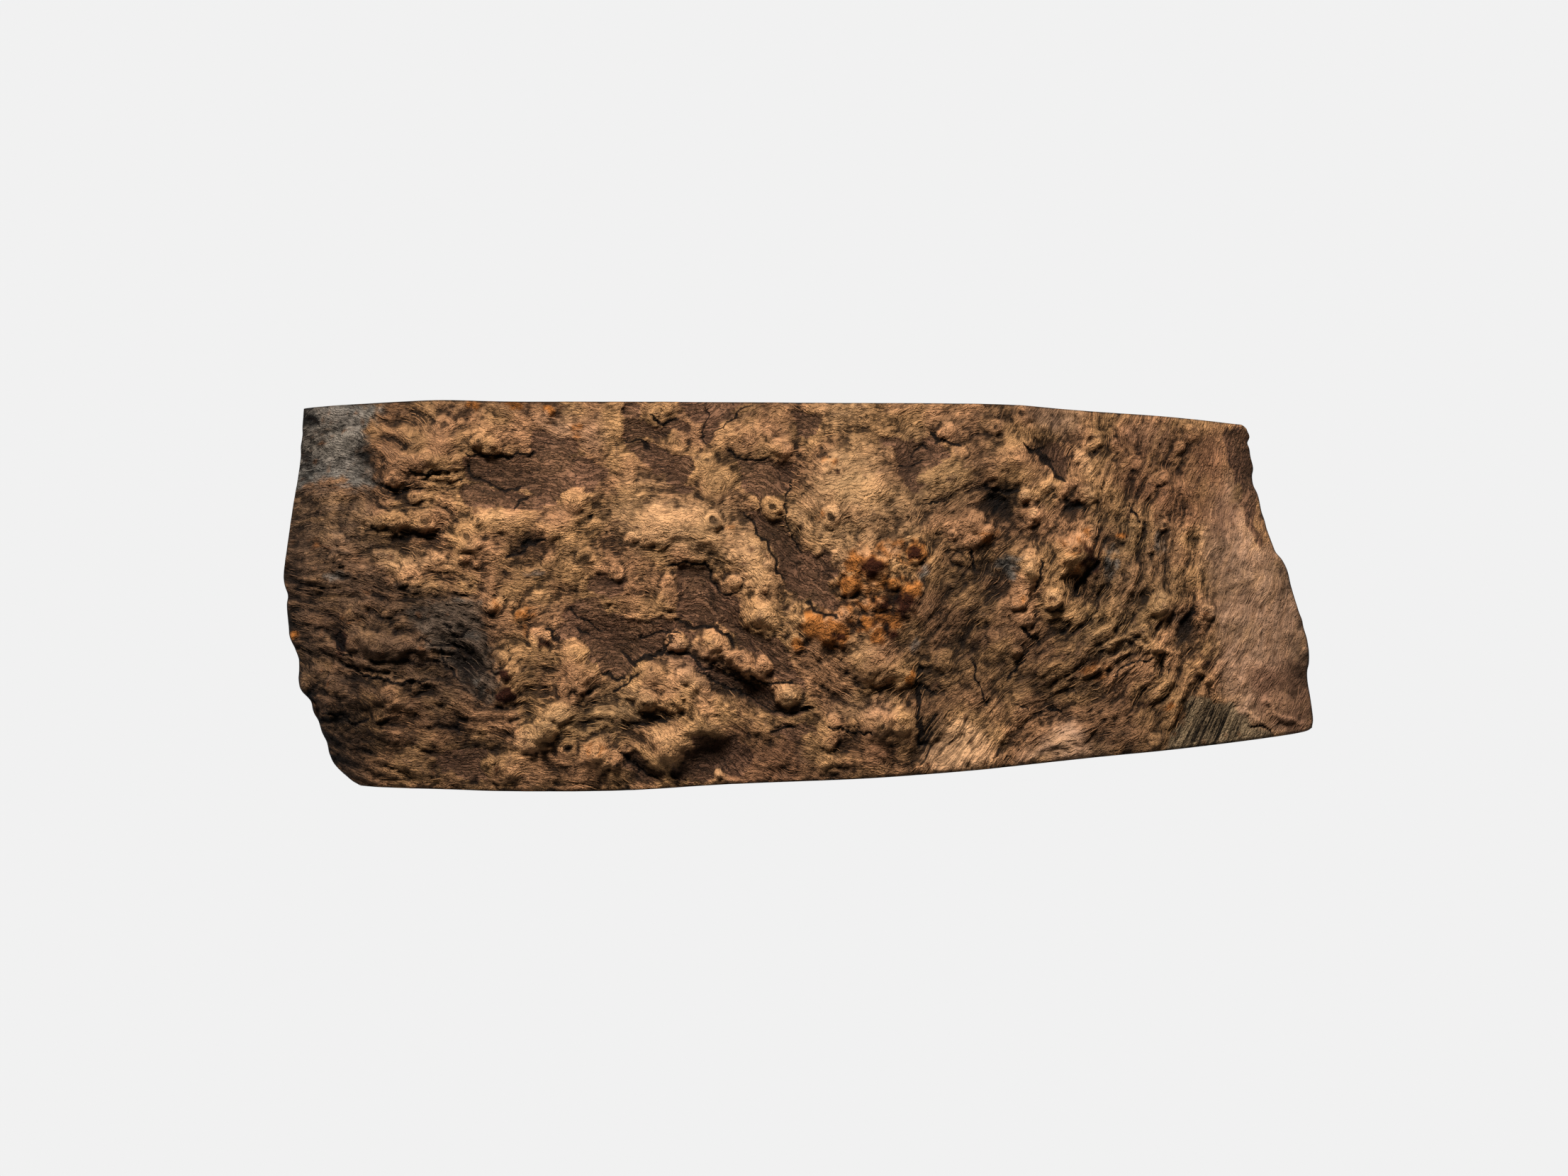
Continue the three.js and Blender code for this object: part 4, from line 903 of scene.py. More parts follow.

# %% [markdown]
# ## Stains
#
# Rust and amber have gathered round the middle knots, and the weather has bleached one corner grey. The umber
# and soot stains are partly dirt and partly painted shade: they darken hollows, the far rim and the parts
# that turn away from the light. Broad stains are regions with soft edges, and small ones are ovals. Each kind
# becomes one number for every point, from 0 to 1, and the numbers are turned into colours further down.

# %% Stains of the weather
# Name: regions, softness of their edges, and spots.
STAINS = {
    "bleached": (
        [
            [(-93, 35), (-84, 35.6), (-78.5, 35.6), (-77.6, 33), (-79, 31.5), (-79.4, 29), (-79.2, 26),
             (-78.5, 22), (-77, 20.5), (-79, 19.6), (-82, 20.6), (-86, 21.6), (-90, 20.8), (-94, 21)],
        ],
        2,
        [
            (38.4, 5.6, 3, 2.8, 0.8), (22.7, 4, 1.6, 3.4, 0.7), (57, 6.2, 1.8, 3.6, 0.6),
            (-60.6, -1, 3.4, 1.2, 0.5, -10), (-60, -7.4, 2.4, 1.4, 0.4), (-58.8, -16.8, 2.6, 1.4, 0.6, -50),
            (50.8, 16.8, 2, 1.3, 0.6), (-47.6, 4.4, 2.4, 1.2, 0.4), (67, 9, 2.4, 3, 0.4),
            (22, -9, 1.4, 2, 0.4), (-85, 3.6, 3, 1.2, 0.4),
        ],
    ),
    "weathered": (
        [
            [(-97, 20.6), (-80, 20), (-77, 13), (-74, 8), (-74, 3), (-64, 0), (-57.6, -4), (-56, -12),
             (-56, -19), (-66, -20.4), (-76, -16), (-82, -24), (-80, -38), (-97, -38)],
        ],
        4,
        [],
    ),
    "slate": (
        [
            [(-71, -2), (-64, -0.6), (-58.5, -1), (-57.5, -6), (-56.5, -11), (-54.5, -17), (-56, -20),
             (-59.5, -18), (-62.5, -14), (-66, -11), (-69, -7)],
        ],
        2,
        [(-80, 25, 2.4, 9, 0.6, 8), (-70, 1.6, 6, 1.2, 0.4, -8), (37, 4, 4, 5, 0.3), (71, -6, 2.4, 4, 0.5)],
    ),
}

# %% Tones of the wood
STAINS |= {
    "pink": (
        [
            [(78, 22), (81, 18), (82.8, 13), (85, 9), (92, 10), (98, -2), (98, -26), (84, -24), (79, -20),
             (77, -10), (76, 0), (74, 8), (75, 14)],
            [(43.6, 34.6), (51, 34), (51, 30.4), (47, 29.6), (44, 31)],
            [(40, -30.6), (45, -26), (48, -23.6), (51, -22.8), (54, -27), (57, -28.6), (55, -30), (45, -31)],
        ],
        2.2,
        [
            (-44, 30, 5, 5, 0.5), (-38, 30, 4, 4, 0.4), (12, -20, 8, 3, 0.3), (64, 29, 5, 3, 0.5, -10),
            # The spot at (29, -28) is painted light: it lifts a place that faces away from the light.
            (-20, -12, 8, 4, 0.3, -30), (29, -28, 7, 5, 1, 8), (-93, 10, 5, 13, 0.5),
        ],
    ),
    "reddish": (
        [
            [(58, 30), (66, 31), (77, 29), (79, 24), (78, 16), (70, 14), (62, 17), (58, 22)],
            [(-13, -24), (-6, -24), (0, -26), (1, -33), (-6, -35), (-12, -34)],
            [(8, -26), (16, -26), (17, -31), (8, -32)],
            [(83, -14), (95, -13), (96, -25), (86, -23)],
        ],
        2,
        [(-86, -4, 6, 3, 0.4, -10), (17, 22.6, 4, 3.4, 0.5), (-30, -1, 5, 3, 0.4), (77.5, 15, 4, 6, 0.9)],
    ),
    "olive": (
        [
            [(55, 14), (62, 15), (70, 10), (70, 0), (66, -4), (64, -10), (55, -14), (51, -10), (53, 0),
             (56, 8)],
            [(21, 24), (28, 25), (33, 22), (32, 16), (23, 16)],
            [(-40, -20), (-30, -19), (-28, -24), (-40, -27), (-50, -24)],
        ],
        3,
        [
            (-16.6, 25, 2.6, 1.8, 0.7), (-14.6, 21, 4, 2.6, 0.6), (-20, 11, 7, 3, 0.5), (8, 21, 7, 5, 1),
            (-26.8, -13.4, 2.6, 2, 0.7), (-27.6, -19.6, 2.4, 2, 0.6), (-17, -24, 4, 3, 0.5),
            (14.6, -24, 3.4, 2.4, 0.7), (-39.5, -17, 4, 3, 0.4), (-74, 18, 5, 2.4, 0.4), (-66, 33, 6, 2, 0.3),
            (35, 26, 5, 4, 0.5),
        ],
    ),
    "pale": (
        [
            [(4.5, 26), (8, 28), (12, 28), (16, 27.5), (18, 25), (17.5, 22), (20, 20), (22, 16), (22, 12),
             (19, 9.6), (14, 9.4), (7, 9), (3, 10.6), (1.4, 12.8), (1.4, 17), (2.6, 20), (3.6, 23)],
            [(4, 35.6), (11.6, 35.6), (11, 32), (6, 31)],
            [(-34, 17), (-26, 18), (-14, 17.6), (-9, 14), (-6, 8), (-9, 5), (-20, 8), (-32, 9)],
        ],
        2.4,
        [
            (-26, 14, 7, 3.4, 0.7), (-44, -22, 3.4, 2.6, 0.9), (-49, -26.4, 3.4, 2.2, 0.8),
            (-1.8, -18.3, 2.2, 1.8, 1), (-6.4, -3.6, 3, 2.6, 0.6), (12, -10.8, 3.4, 2, 0.8),
            (-24, -25.4, 4, 2, 0.6, 20), (53, 18.6, 1.5, 2, 0.9), (46.5, -0.2, 1.8, 1.4, 0.9),
            (41.3, 18.6, 1.4, 1.4, 0.7), (43, 15.2, 1.3, 1.4, 0.8), (-14.6, -32.4, 1, 1, 1),
            (52.4, 24.6, 3.6, 1.4, 0.7, -62), (42.2, 5.6, 1.4, 3, 0.7, 10), (-55, 14, 6, 1.6, 0.6),
            (66.5, -1, 2, 2, 0.4), (75.3, -2.6, 1, 1.6, 0.5), (-20, -16, 5, 3, 0.4, -20),
            # Of the spots below, (30, -28) and (-32, -20) are painted light that lifts places facing away
            # from the light.
            (30, -28, 9, 6, 0.9, 10), (16, 14, 8, 5, 0.8), (-8, 7, 6, 8, 0.8, 20), (-27, 20.5, 6, 3, 0.6),
            (26, 32, 5, 2, 0.3), (-32, -20, 8, 4.4, 0.9), (7.5, 8.5, 5, 4, 0.9), (0.5, 14.5, 4, 5, 1),
            (21, 17, 4, 7, 0.9), (-70, 6.8, 8, 3, 0.8, -4), (21, 29, 4, 3, 0.6),
        ],
    ),
}

# %% Plates of straight fibres
STAINS |= {
    "striped": (
        [
            STRIPED_PLATE,
            [(24, -22), (29, -21), (34, -24), (38, -29), (37, -32.6), (24, -33.6), (22.6, -30)],
        ],
        PLATE_EDGE,
        [],
    ),
    "plate": (
        [STRIPED_PLATE],
        PLATE_EDGE,
        [],
    ),
}

# %% Amber and rust
STAINS |= {
    "amber": (
        [],
        1,
        [
            (10.6, 6, 2, 2.6, 1), (14, 5, 3.6, 2.8, 0.9), (21.5, 8, 2.8, 2.6, 0.9), (9.5, 1.6, 2.4, 2.2, 1),
            (17.5, 2.4, 2.8, 2.2, 1), (20.7, 0.8, 2.8, 2.4, 1), (12.8, -5, 2.2, 1.8, 0.9),
            (16, -4, 3.2, 2.4, 1), (2.6, -5, 2.6, 3.2, 1), (6.6, -7, 3.8, 3, 0.9),
            (14.8, -7.2, 2.2, 1.6, 0.8), (20.6, -14.8, 1.2, 2, 0.9), (5.5, 24, 2.2, 1.6, 0.35),
            (-12, 12.8, 1.4, 1.4, 0.35), (-45.5, 34.2, 1.6, 1.3, 1), (-40.5, 30.5, 1.4, 2.2, 0.5),
            (-60, 35.2, 2.2, 1.1, 0.9), (-52, 35.2, 1.8, 1.1, 0.9), (-50.2, -4, 2.6, 3.4, 0.45),
            (-55.5, -1.5, 2, 1.6, 0.35), (56, -13.6, 4, 2.4, 0.4), (69.4, -21, 2.8, 1.8, 0.4),
            (-93.4, -7.2, 1.2, 1, 0.9), (4.2, 14.6, 1.4, 1.4, 0.4), (-37, -28.2, 2.6, 1.7, 0.35),
            (-0.2, -8.8, 1.8, 1.6, 0.8), (53.4, 11.6, 1.4, 1.2, 0.4), (59.4, 10.6, 1.4, 0.9, 1),
            (40.6, -1, 1.4, 1.4, 0.4), (35, 10.8, 2.2, 1.6, 0.4), (17, 7, 8, 5, 0.5), (13, -1, 9.5, 7, 0.55),
            (52, 8, 5, 6, 0.3), (-82, -4.6, 2.4, 1.2, 0.3), (-88.6, 10, 2, 1.2, 0.3),
        ],
    ),
    "rust": (
        [],
        1,
        [
            (13, 1.5, 11, 9, 0.2), (15, -6.6, 4, 3, 0.45), (5, -6, 6, 4, 0.3), (14, 4.9, 2.9, 2.1, 1),
            (21.5, 8, 1.8, 1.8, 1), (19.6, -1.7, 2.6, 2.6, 1), (15.4, -1.4, 2.6, 2.2, 0.7),
            (-53.5, -15.2, 2, 1.2, 1), (-53.5, -18.5, 2, 1.8, 1), (9.7, 0.8, 0.8, 0.7, 0.8),
            (53.4, 6.6, 2.4, 4, 0.7, 25), (-84, -8.6, 1.6, 2.6, 0.7), (-46, -8.7, 1.4, 1.1, 0.7),
            (6.9, 22.7, 1, 0.9, 0.8), (7, -7.4, 1.8, 1.4, 0.6), (6, 14.1, 1.8, 1.3, 0.6),
            (2.8, -4.6, 1, 1, 0.4), (74, -13, 3, 3, 0.4), (62, -20, 5, 3, 0.3),
        ],
    ),
}

# %% Dirt and painted shade
STAINS |= {
    # Brown dirt, and painted shade where the face turns away from the light and along the far rim.
    "umber_and_shade": (
        [
            [(-97, 6), (-88, 8), (-80, 4), (-70, 1), (-60, -1), (-56, -6), (-54.5, -13), (-54, -21),
             (-58, -27), (-58, -38), (-97, -38)],
            [(26, 9), (33, 9), (37, 13), (36, 20), (40.6, 19), (40.6, 8), (39, 0), (42, -5), (52, -6),
             (55, -12), (56, -17), (48, -22), (38, -21), (30, -20), (26, -26), (22, -27), (21, -12),
             (23, -4)],
            [(52, -18), (66, -18), (72, -20), (76, -22), (82, -23), (84, -28), (57, -30), (52, -26)],
        ],
        3,
        [
            (-50, 9, 5, 4, 0.7, 20), (-44, 4.6, 6, 4.6, 0.7, -20), (-35, 1, 5, 3, 0.6),
            (-66, 24.6, 5, 2.4, 0.3), (-73, 11.8, 7, 1.8, 0.5, -6), (-58, 21, 8, 4, 0.4),
            (-56, 26, 6, 1.8, 0.6), (-80, 27, 3, 9, 0.8), (-88, 4, 8, 8, 0.5), (-74, 0, 9, 3, 0.5, -8),
            (-70, -12, 14, 7, 0.9, -10), (-80, -30, 14, 7, 0.9), (-86, -22, 7, 5, 0.9),
            (-62, -25, 7, 4, 0.9, -15), (-60, -33, 9, 4, 0.7), (-46, -33.6, 9, 2.4, 0.5),
            (-53, -19, 4, 4, 0.7), (-49, -13.5, 5, 4, 0.9), (-18, -29, 10, 5.4, 0.9, 14),
            (-8, -27, 8, 6, 0.6), (-24, -22.6, 5, 2, 0.3), (-33, -33, 7, 2.4, 0.6),
            (-12, -16.6, 12, 3.4, 0.8, -27), (0, -22, 6, 3.4, 0.7), (8, -20, 6, 2.6, 0.4, -10),
            (15, -31, 12, 3, 0.6, 6), (13, -16.6, 7, 2.6, 0.4), (23, -15, 4, 12, 0.5), (31, 0, 5, 9, 0.5),
            (46, -8, 6, 3, 0.9, -10), (44, -12, 6, 3.4, 0.8, 40), (36, 16, 5, 5, 0.9), (34, 26, 6, 7, 0.5),
            (42, 24, 4, 6, 0.4), (52.6, 4, 3, 6, 0.8, 20), (54, 16, 5, 3, 0.5), (44, 30, 6, 5, 0.4),
            (58, 22, 10, 9, 0.4), (70, 24, 12, 9, 0.35), (62, 6, 9, 14, 0.35), (71, -6, 4, 8, 0.6),
            (66, -15, 12, 3, 0.5, -10), (60, -26, 8, 3.6, 0.6), (-71, 27, 14, 10, 0.85),
            (-60, -14, 8, 9, 0.9), (82, 24, 3.4, 9, 0.8), (93.6, -12, 3.4, 8, 0.8), (88, -23, 8, 3, 0.5),
            (26, 20, 6, 9, 0.3), (22, 30, 8, 4, 0.3), (-16, 33, 8, 4, 0.5), (-26, 31, 7, 5, 0.3),
            (0, 31, 5, 5, 0.5), (-20, -1, 5, 6, 0.3), (0, -29, 5, 5, 0.95), (31, 15, 4, 5, 0.8),
            (4, 4, 4, 6, 0.2), (-62, 34.6, 12, 2, 0.6), (60, 33, 22, 2, 0.7, -4), (20, 34.8, 12, 1.6, 0.4),
            (-30, 35.4, 14, 1.4, 0.5), (7, -9.6, 5, 2, 0.4), (28, 8, 5, 4, 0.5), (-78, 35.5, 12, 3.2, 1),
            (-50, 35.5, 16, 3, 0.9), (-8, 35.5, 8, 3.4, 1), (40, 34, 10, 3.4, 1, -4), (-56, -27.5, 5, 4, 1),
            (15, -7, 5, 5, 0.8), (14, -14, 6, 4, 0.8), (35, 29, 5, 6, 0.8), (63.5, -27.4, 6, 3, 1),
            (-46, 14, 7, 3, 0.5), (-42, 7, 4, 4, 0.7), (-71, 16, 8, 3, 0.6), (-79, 20, 7, 3, 0.6),
            (77.5, 2, 4, 18, 0.45), (-8, 28, 5, 4, 0.5), (15, 29, 4, 4, 0.6), (-83, 29, 5, 7, 0.5),
        ],
    ),
    # Black dirt, and painted shade in the hollows, under the lobes and along the far rim.
    "soot_and_shade": (
        [],
        1,
        [
            (-79.6, 27.6, 2.2, 2, 0.9), (-79, 22, 2, 3.4, 0.6), (-49, 9.4, 4.4, 2.6, 0.9, 30),
            (-39, 6.5, 2.6, 2, 0.9), (-37.8, 14.4, 1.4, 1.7, 0.7), (-84.2, 6.2, 1.8, 3, 0.6),
            (-84.4, -23, 5.6, 2.6, 1, -10), (-63.4, -24.4, 4.4, 2.2, 1, -15), (-16.6, -28.8, 6, 3, 0.6, 10),
            (-22, -32.4, 4.4, 1.8, 0.9), (1, -21.2, 3.6, 1.4, 0.9), (23, -26, 1.6, 3, 0.9),
            (36.6, 16.6, 5, 3.4, 0.9), (38.6, 20.6, 3, 1.6, 0.7), (30, 4, 3.4, 5.6, 0.6),
            (50, 17, 2.6, 2.2, 0.8), (53, 15.6, 2, 1.4, 0.8), (57.8, 9.8, 2.6, 1.6, 1, -30),
            (48.4, -6, 2.6, 2, 0.9), (-54, -21, 3, 1.5, 0.9), (-59, -34.6, 3, 1.2, 0.8),
            (-89.5, -18.6, 1.8, 1.2, 0.9), (71.6, -5, 2.4, 5.4, 0.5, 10), (54.4, 3.6, 2.2, 5, 0.7, 25),
            (-90.4, 32.5, 2.8, 1.8, 0.9), (-15, 13.2, 2, 2.4, 0.7), (15, 13.4, 2, 1.1, 0.6),
            (92.4, -12, 2.4, 5.4, 0.5), (-79, -29, 3.6, 1.4, 0.7), (6.5, -33.4, 2.8, 1.4, 0.9),
            (-74, -17, 9, 1.7, 0.7, -6), (47.8, -2.8, 2.2, 1.5, 0.8), (29, -7, 6, 4, 0.4),
            (30, 29.4, 3, 2, 0.4), (-88, -30, 4, 5, 0.5), (-73, 10.4, 8, 1.6, 0.7, -2),
            (83.4, 26, 2.4, 5, 0.5), (34, 24, 3, 5, 0.4), (71, -9.6, 2, 2.4, 0.5), (-44, -33.6, 3, 1.4, 0.4),
            (59.5, -6, 2, 2, 0.3), (-84, -27, 9, 6, 0.6, -20), (-66, -27, 9, 3, 0.5, -10),
            (-66, -31, 12, 4, 0.4), (-80, -25, 13, 10, 1), (-63, -9, 8, 7, 0.35, -20),
            (-79.4, 26, 2.6, 8, 0.8), (-84, 32, 6, 2, 0.3), (20, 0, 3, 1.4, 0.3),
            (-9, -17.6, 6, 1.5, 0.3, -27), (-61, -12, 4, 4, 0.3), (-91, -21, 4, 5, 0.8),
            (44, -14, 6, 4, 0.6, 20), (-57, -28, 4, 3, 0.5), (-78, 36, 13, 3.4, 0.55),
            (-52, 36, 16, 2.8, 0.4), (-8, 36, 9, 3, 0.35), (-70, 28, 8, 6, 0.25), (-6, -28, 5, 4, 0.35),
            (63, -28, 6, 3, 0.4), (-49, -14, 4, 3, 0.25),
        ],
    ),
}

# %% How strong each stain is
# Spacing, height and seed of the old dirt that lies everywhere in patches, and its strength.
OLD_DIRT = [(6, 1, 25), (2.4, 0.7, 26)]
OLD_DIRT_STRENGTH = 0.5


def stain(regions, softness, spots):
    """How strong a stain is at each point: its soft regions and its spots together."""
    field = strongest(spots, power=0.7)
    if regions:
        depth = depth_inside(torn_x, torn_y, regions, reach=REGION_REACH)
        field = np.maximum(field, smooth(-softness, softness, depth))
    return field


stains = {name: stain(*places) for name, places in STAINS.items()}
old_dirt = smooth(0, 0.9, layered(OLD_DIRT, x, y))
stains["umber_and_shade"] = np.maximum(stains["umber_and_shade"], OLD_DIRT_STRENGTH * old_dirt)
for name, field in stains.items():
    print(name, "covers", (field > 0.3).mean().round(2))

# %% [markdown]
# ## The walls
#
# Rings of points are carried down from the rim to the back. The sawn sides drop straight. The rough ends
# draw in a little and unevenly, with ridges that run down them as the fibres do. Below the first rings
# every second point is left out, because the walls need less detail than the face. The last ring is the
# back's edge, drawn in a little.

# %% The walls
# Shares of the way down.
FINE_RINGS = (0.012, 0.03, 0.055)
COARSE_RINGS = np.linspace(0.09, 1, 21)
# How far from the middle a rim point is sawn, and from where on it is rough.
END_ZONE = (77, 85)
END_TAPER = 2.2
# Rise and spacing of the unevenness. Rise, width and length of the ridges.
END_ROUGHNESS = (1.5, 6)
END_RIDGES = (0.5, 1.8, 9)
# This keeps the unevenness of the two ends apart.
ENDS_APART = 40
BACK_INSET = (0.99, 0.975, 0)


def rim_ring(values):
    """The values round the rim of the grid, anticlockwise from above."""
    return np.concatenate([values[0, :-1], values[:-1, -1], values[-1, :0:-1], values[:0:-1, 0]])


rim_x, rim_y, rim_z = rim_ring(x), rim_ring(y), rim_ring(height)
rim_run = np.cumsum(np.hypot(rim_x - np.roll(rim_x, 1), rim_y - np.roll(rim_y, 1)))
rim_rough = smooth(*END_ZONE, np.abs(rim_x))


def wall_ring(share, chosen):
    """A ring of the wall, where share is 0 at the rim and 1 at the back."""
    px, py, pz = rim_x[chosen], rim_y[chosen], rim_z[chosen] * (1 - share)
    rough, length = END_ROUGHNESS
    ridge, width, reach = END_RIDGES
    side = np.sign(px)
    round_end = py + ENDS_APART * side
    uneven = rough * (0.5 + 0.6 * hills(length, 51, round_end, pz))
    uneven += ridge * hills(1, 52, round_end / width, pz / reach)
    inset = rim_rough[chosen] * (END_TAPER * share + np.maximum(uneven, 0) * min(1, 3 * share))
    return np.column_stack([px - side * inset, py, pz])


every = np.arange(len(rim_x))
half = every[::2]
rings = [(wall_ring(share, every), every) for share in FINE_RINGS]
rings += [(wall_ring(share, half), half) for share in COARSE_RINGS]
back_ring = wall_ring(1, half) * BACK_INSET
rings.append((back_ring, half))
print("points in a ring:", len(every), "then", len(half))

# %% [markdown]
# ## One closed mesh
#
# The face, the walls and the back are joined into one closed mesh with every face pointing out. The numbers
# worked out above are stored on its points, where the material finds them by name.

# %% One closed mesh


def face_quads():
    """The grid's cells as faces, seen anticlockwise from above."""
    corner = np.arange((ROWS + 1) * (COLUMNS + 1)).reshape(ROWS + 1, COLUMNS + 1)
    quads = np.stack([corner[:-1, :-1], corner[:-1, 1:], corner[1:, 1:], corner[1:, :-1]], axis=-1)
    return quads.reshape(-1, 4).tolist()


def wall_faces(upper, lower):
    """The faces between two rings, where the lower one has as many points or half as many."""
    faces = []
    count = len(lower)
    if len(upper) == count:
        for k in range(count):
            after = (k + 1) % count
            faces.append([upper[k], lower[k], lower[after], upper[after]])
        return faces
    for k in range(count):
        first, middle, last = upper[2 * k], upper[2 * k + 1], upper[(2 * k + 2) % len(upper)]
        down, down_next = lower[k], lower[(k + 1) % count]
        faces += [[first, down, middle], [middle, down, down_next], [middle, down_next, last]]
    return faces


def closed_mesh():
    """The block's mesh, and for each of its points the rim point above it, or -1 on the face."""
    points = [np.column_stack([x.ravel(), y.ravel(), height.ravel()])]
    faces = face_quads()
    upper = rim_ring(np.arange(x.size).reshape(x.shape)).tolist()
    rim_above = [np.full(x.size, -1)]
    start = x.size
    for ring, chosen in rings:
        lower = list(range(start, start + len(ring)))
        faces += wall_faces(upper, lower)
        points.append(ring)
        rim_above.append(chosen)
        upper = lower
        start += len(ring)
    faces.append(upper[::-1])
    mesh = bpy.data.meshes.new("briar_wood_block")
    mesh.from_pydata((np.vstack(points) * MM).tolist(), [], faces)
    return mesh, np.vstack(points), np.concatenate(rim_above)


block_mesh, block_points, rim_above = closed_mesh()
triangles = sum(len(face.vertices) - 2 for face in block_mesh.polygons)
print("triangles:", triangles, "valid:", not block_mesh.validate())

# %% [markdown]
# ## High and low places
#
# Crests get a painted highlight and hollows a painted shade that is partly old dirt, at every size from a
# fibre to a lobe. How far a point stands above the mean of its surroundings, for three sizes of surroundings,
# makes one number: above 0 on a crest, and below 0 in a hollow. Hollows and soot are put together in a second
# number, which paints the hollows dark as shade and darkens the soot.

# %% High and low places
# Blur in cells, and how much a millimetre of height counts.
SURROUNDINGS = [(1.3, 2.6), (5, 1.1), (14, 0.5)]

wall = rim_above >= 0
wall_z = block_points[wall, 2]
wall_run = rim_run[rim_above[wall]]
wall_rough = rim_rough[rim_above[wall]]
# Above 0 this number becomes a painted highlight, and below 0 a painted shade that is partly old dirt.
relief_light_and_shade = sum(count * (height - blur(height, cells)) for cells, count in SURROUNDINGS)
# Hollows are painted dark as shade; soot darkens as dirt and painted shade.
hollow_shade_and_stains = np.maximum(hollow, 0.85 * stains["soot_and_shade"])
print("exposure, lowest and highest tenth:", np.percentile(relief_light_and_shade, (10, 90)).round(2))

# %% [markdown]
# ## Paint
#
# A stain is wider than a cell of the mesh, so the broad colours are mixed here, point by point, and stored
# as the paint of the mesh. The material then adds only what is finer: fibres, pores and torn edges. Fibre
# by fibre the stains are stronger or weaker, and sharp ones end in a frayed edge.

# %% Paint


def srgb(red, green, blue):
    """A colour as seen on a screen, 0 to 255, as the linear colour that a shader takes."""
    shares = [value / 255 for value in (red, green, blue)]
    return (*[s / 12.92 if s <= 0.04045 else ((s + 0.055) / 1.055) ** 2.4 for s in shares], 1)


def tinted(paint, amount, colour):
    """The paint with a colour mixed in, by an amount from 0 to 1 at each point."""
    amount = np.clip(amount, 0, 1)[..., None]
    return paint * (1 - amount) + np.array(colour[:3]) * amount


TAN_PINK = srgb(155, 110, 75)
TAN_YELLOW = srgb(162, 119, 77)
SAWN = srgb(158, 108, 76)
SAWN_DARK = srgb(112, 70, 46)
SKIN = srgb(60, 38, 25)
SKIN_STRENGTH = 0.8
SKIN_DEPTH = 1.6
# Spacing, height and seed of the blotches in the bare wood, and of the specks in every stain.
BLOTCHES = [(9, 1, 66), (4, 0.5, 67)]
SPECKS = [(1.3, 1, 72)]
# Width, length and seed of the streaks.
FACE_STREAK = (1.1, 7, 71)
WALL_STREAK = (1.2, 14, 68)
# Stain, strength, colour.
SOFT_TINTS = [
    ("pink", 0.75, srgb(160, 124, 98)), ("pale", 0.75, srgb(173, 131, 90)),
    ("weathered", 0.85, srgb(84, 64, 49)), ("olive", 0.5, srgb(88, 71, 47)),
    # The umber tint is partly dirt and partly painted shade.
    ("reddish", 0.6, srgb(104, 66, 46)), ("umber_and_shade", 0.65, srgb(62, 43, 29)),
]
SHARP_TINTS = [
    ("bleached", 0.85, srgb(98, 95, 88)), ("plate", 0.85, srgb(112, 94, 70)),
    ("slate", 0.6, srgb(76, 66, 56)), ("amber", 0.9, srgb(142, 84, 34)), ("rust", 0.97, srgb(34, 9, 3)),
]


def face_paint():
    """The broad colour of each point of the face."""
    blotch = layered(BLOTCHES, x, y)
    streak = along_grain(*FACE_STREAK)
    speck = layered(SPECKS, x, y)
    paint = tinted(np.broadcast_to(TAN_PINK[:3], (*x.shape, 3)), smooth(-0.5, 0.5, blotch), TAN_YELLOW)
    for name, strength, tint in SOFT_TINTS:
        paint = tinted(paint, strength * stains[name] * (0.9 + 0.4 * streak + 0.2 * speck), tint)
    for name, strength, tint in SHARP_TINTS:
        edge = stains[name] + 0.35 * streak + 0.35 * speck
        paint = tinted(paint, strength * smooth(0.15, 0.75, edge), tint)
    return paint


def wall_paint():
    """The broad colour of each point of the walls: reddish wood where sawn, and brown at the rough ends."""
    width, length, seed = WALL_STREAK
    streak = hills(1, seed, wall_run / width, wall_z / length) + 0.5 * hills(9, 69, wall_run, wall_z)
    sawn = tinted(np.broadcast_to(SAWN_DARK[:3], (len(wall_z), 3)), smooth(-0.6, 0.6, streak), SAWN)
    rough = tinted(np.broadcast_to(TAN_PINK[:3], (len(wall_z), 3)), 0.5 + 0.6 * streak, SAWN_DARK)
    share = smooth(0.2, 0.8, wall_rough + 0.3 * hills(5, 70, wall_run, wall_z))[:, None]
    depth = rim_z[rim_above[wall]] - wall_z
    return tinted(sawn * (1 - share) + rough * share, SKIN_STRENGTH * np.exp(-depth / SKIN_DEPTH), SKIN)


# %% [markdown]
# ## The numbers on the points
#
# The material finds its numbers by name on the mesh's points. On the walls the grain runs down from the
# rim, so a wall point takes the distance of its rim point along the rim. The rough ends get bark in
# patches. The calm says where the fibres lie flat: at the pink end and on the sawn sides, and a little on
# pale lobes and on bark.

# %% The numbers on the points


def on_points(face_values, wall_values=0.0, back_values=0.0):
    """Values for the face, the walls and the back together, in the order of the mesh's points."""
    values = np.empty((len(block_points), *face_values.shape[2:]))
    values[~wall] = face_values.reshape(-1, *face_values.shape[2:])
    values[wall] = wall_values
    values[-len(half):] = back_values
    return values


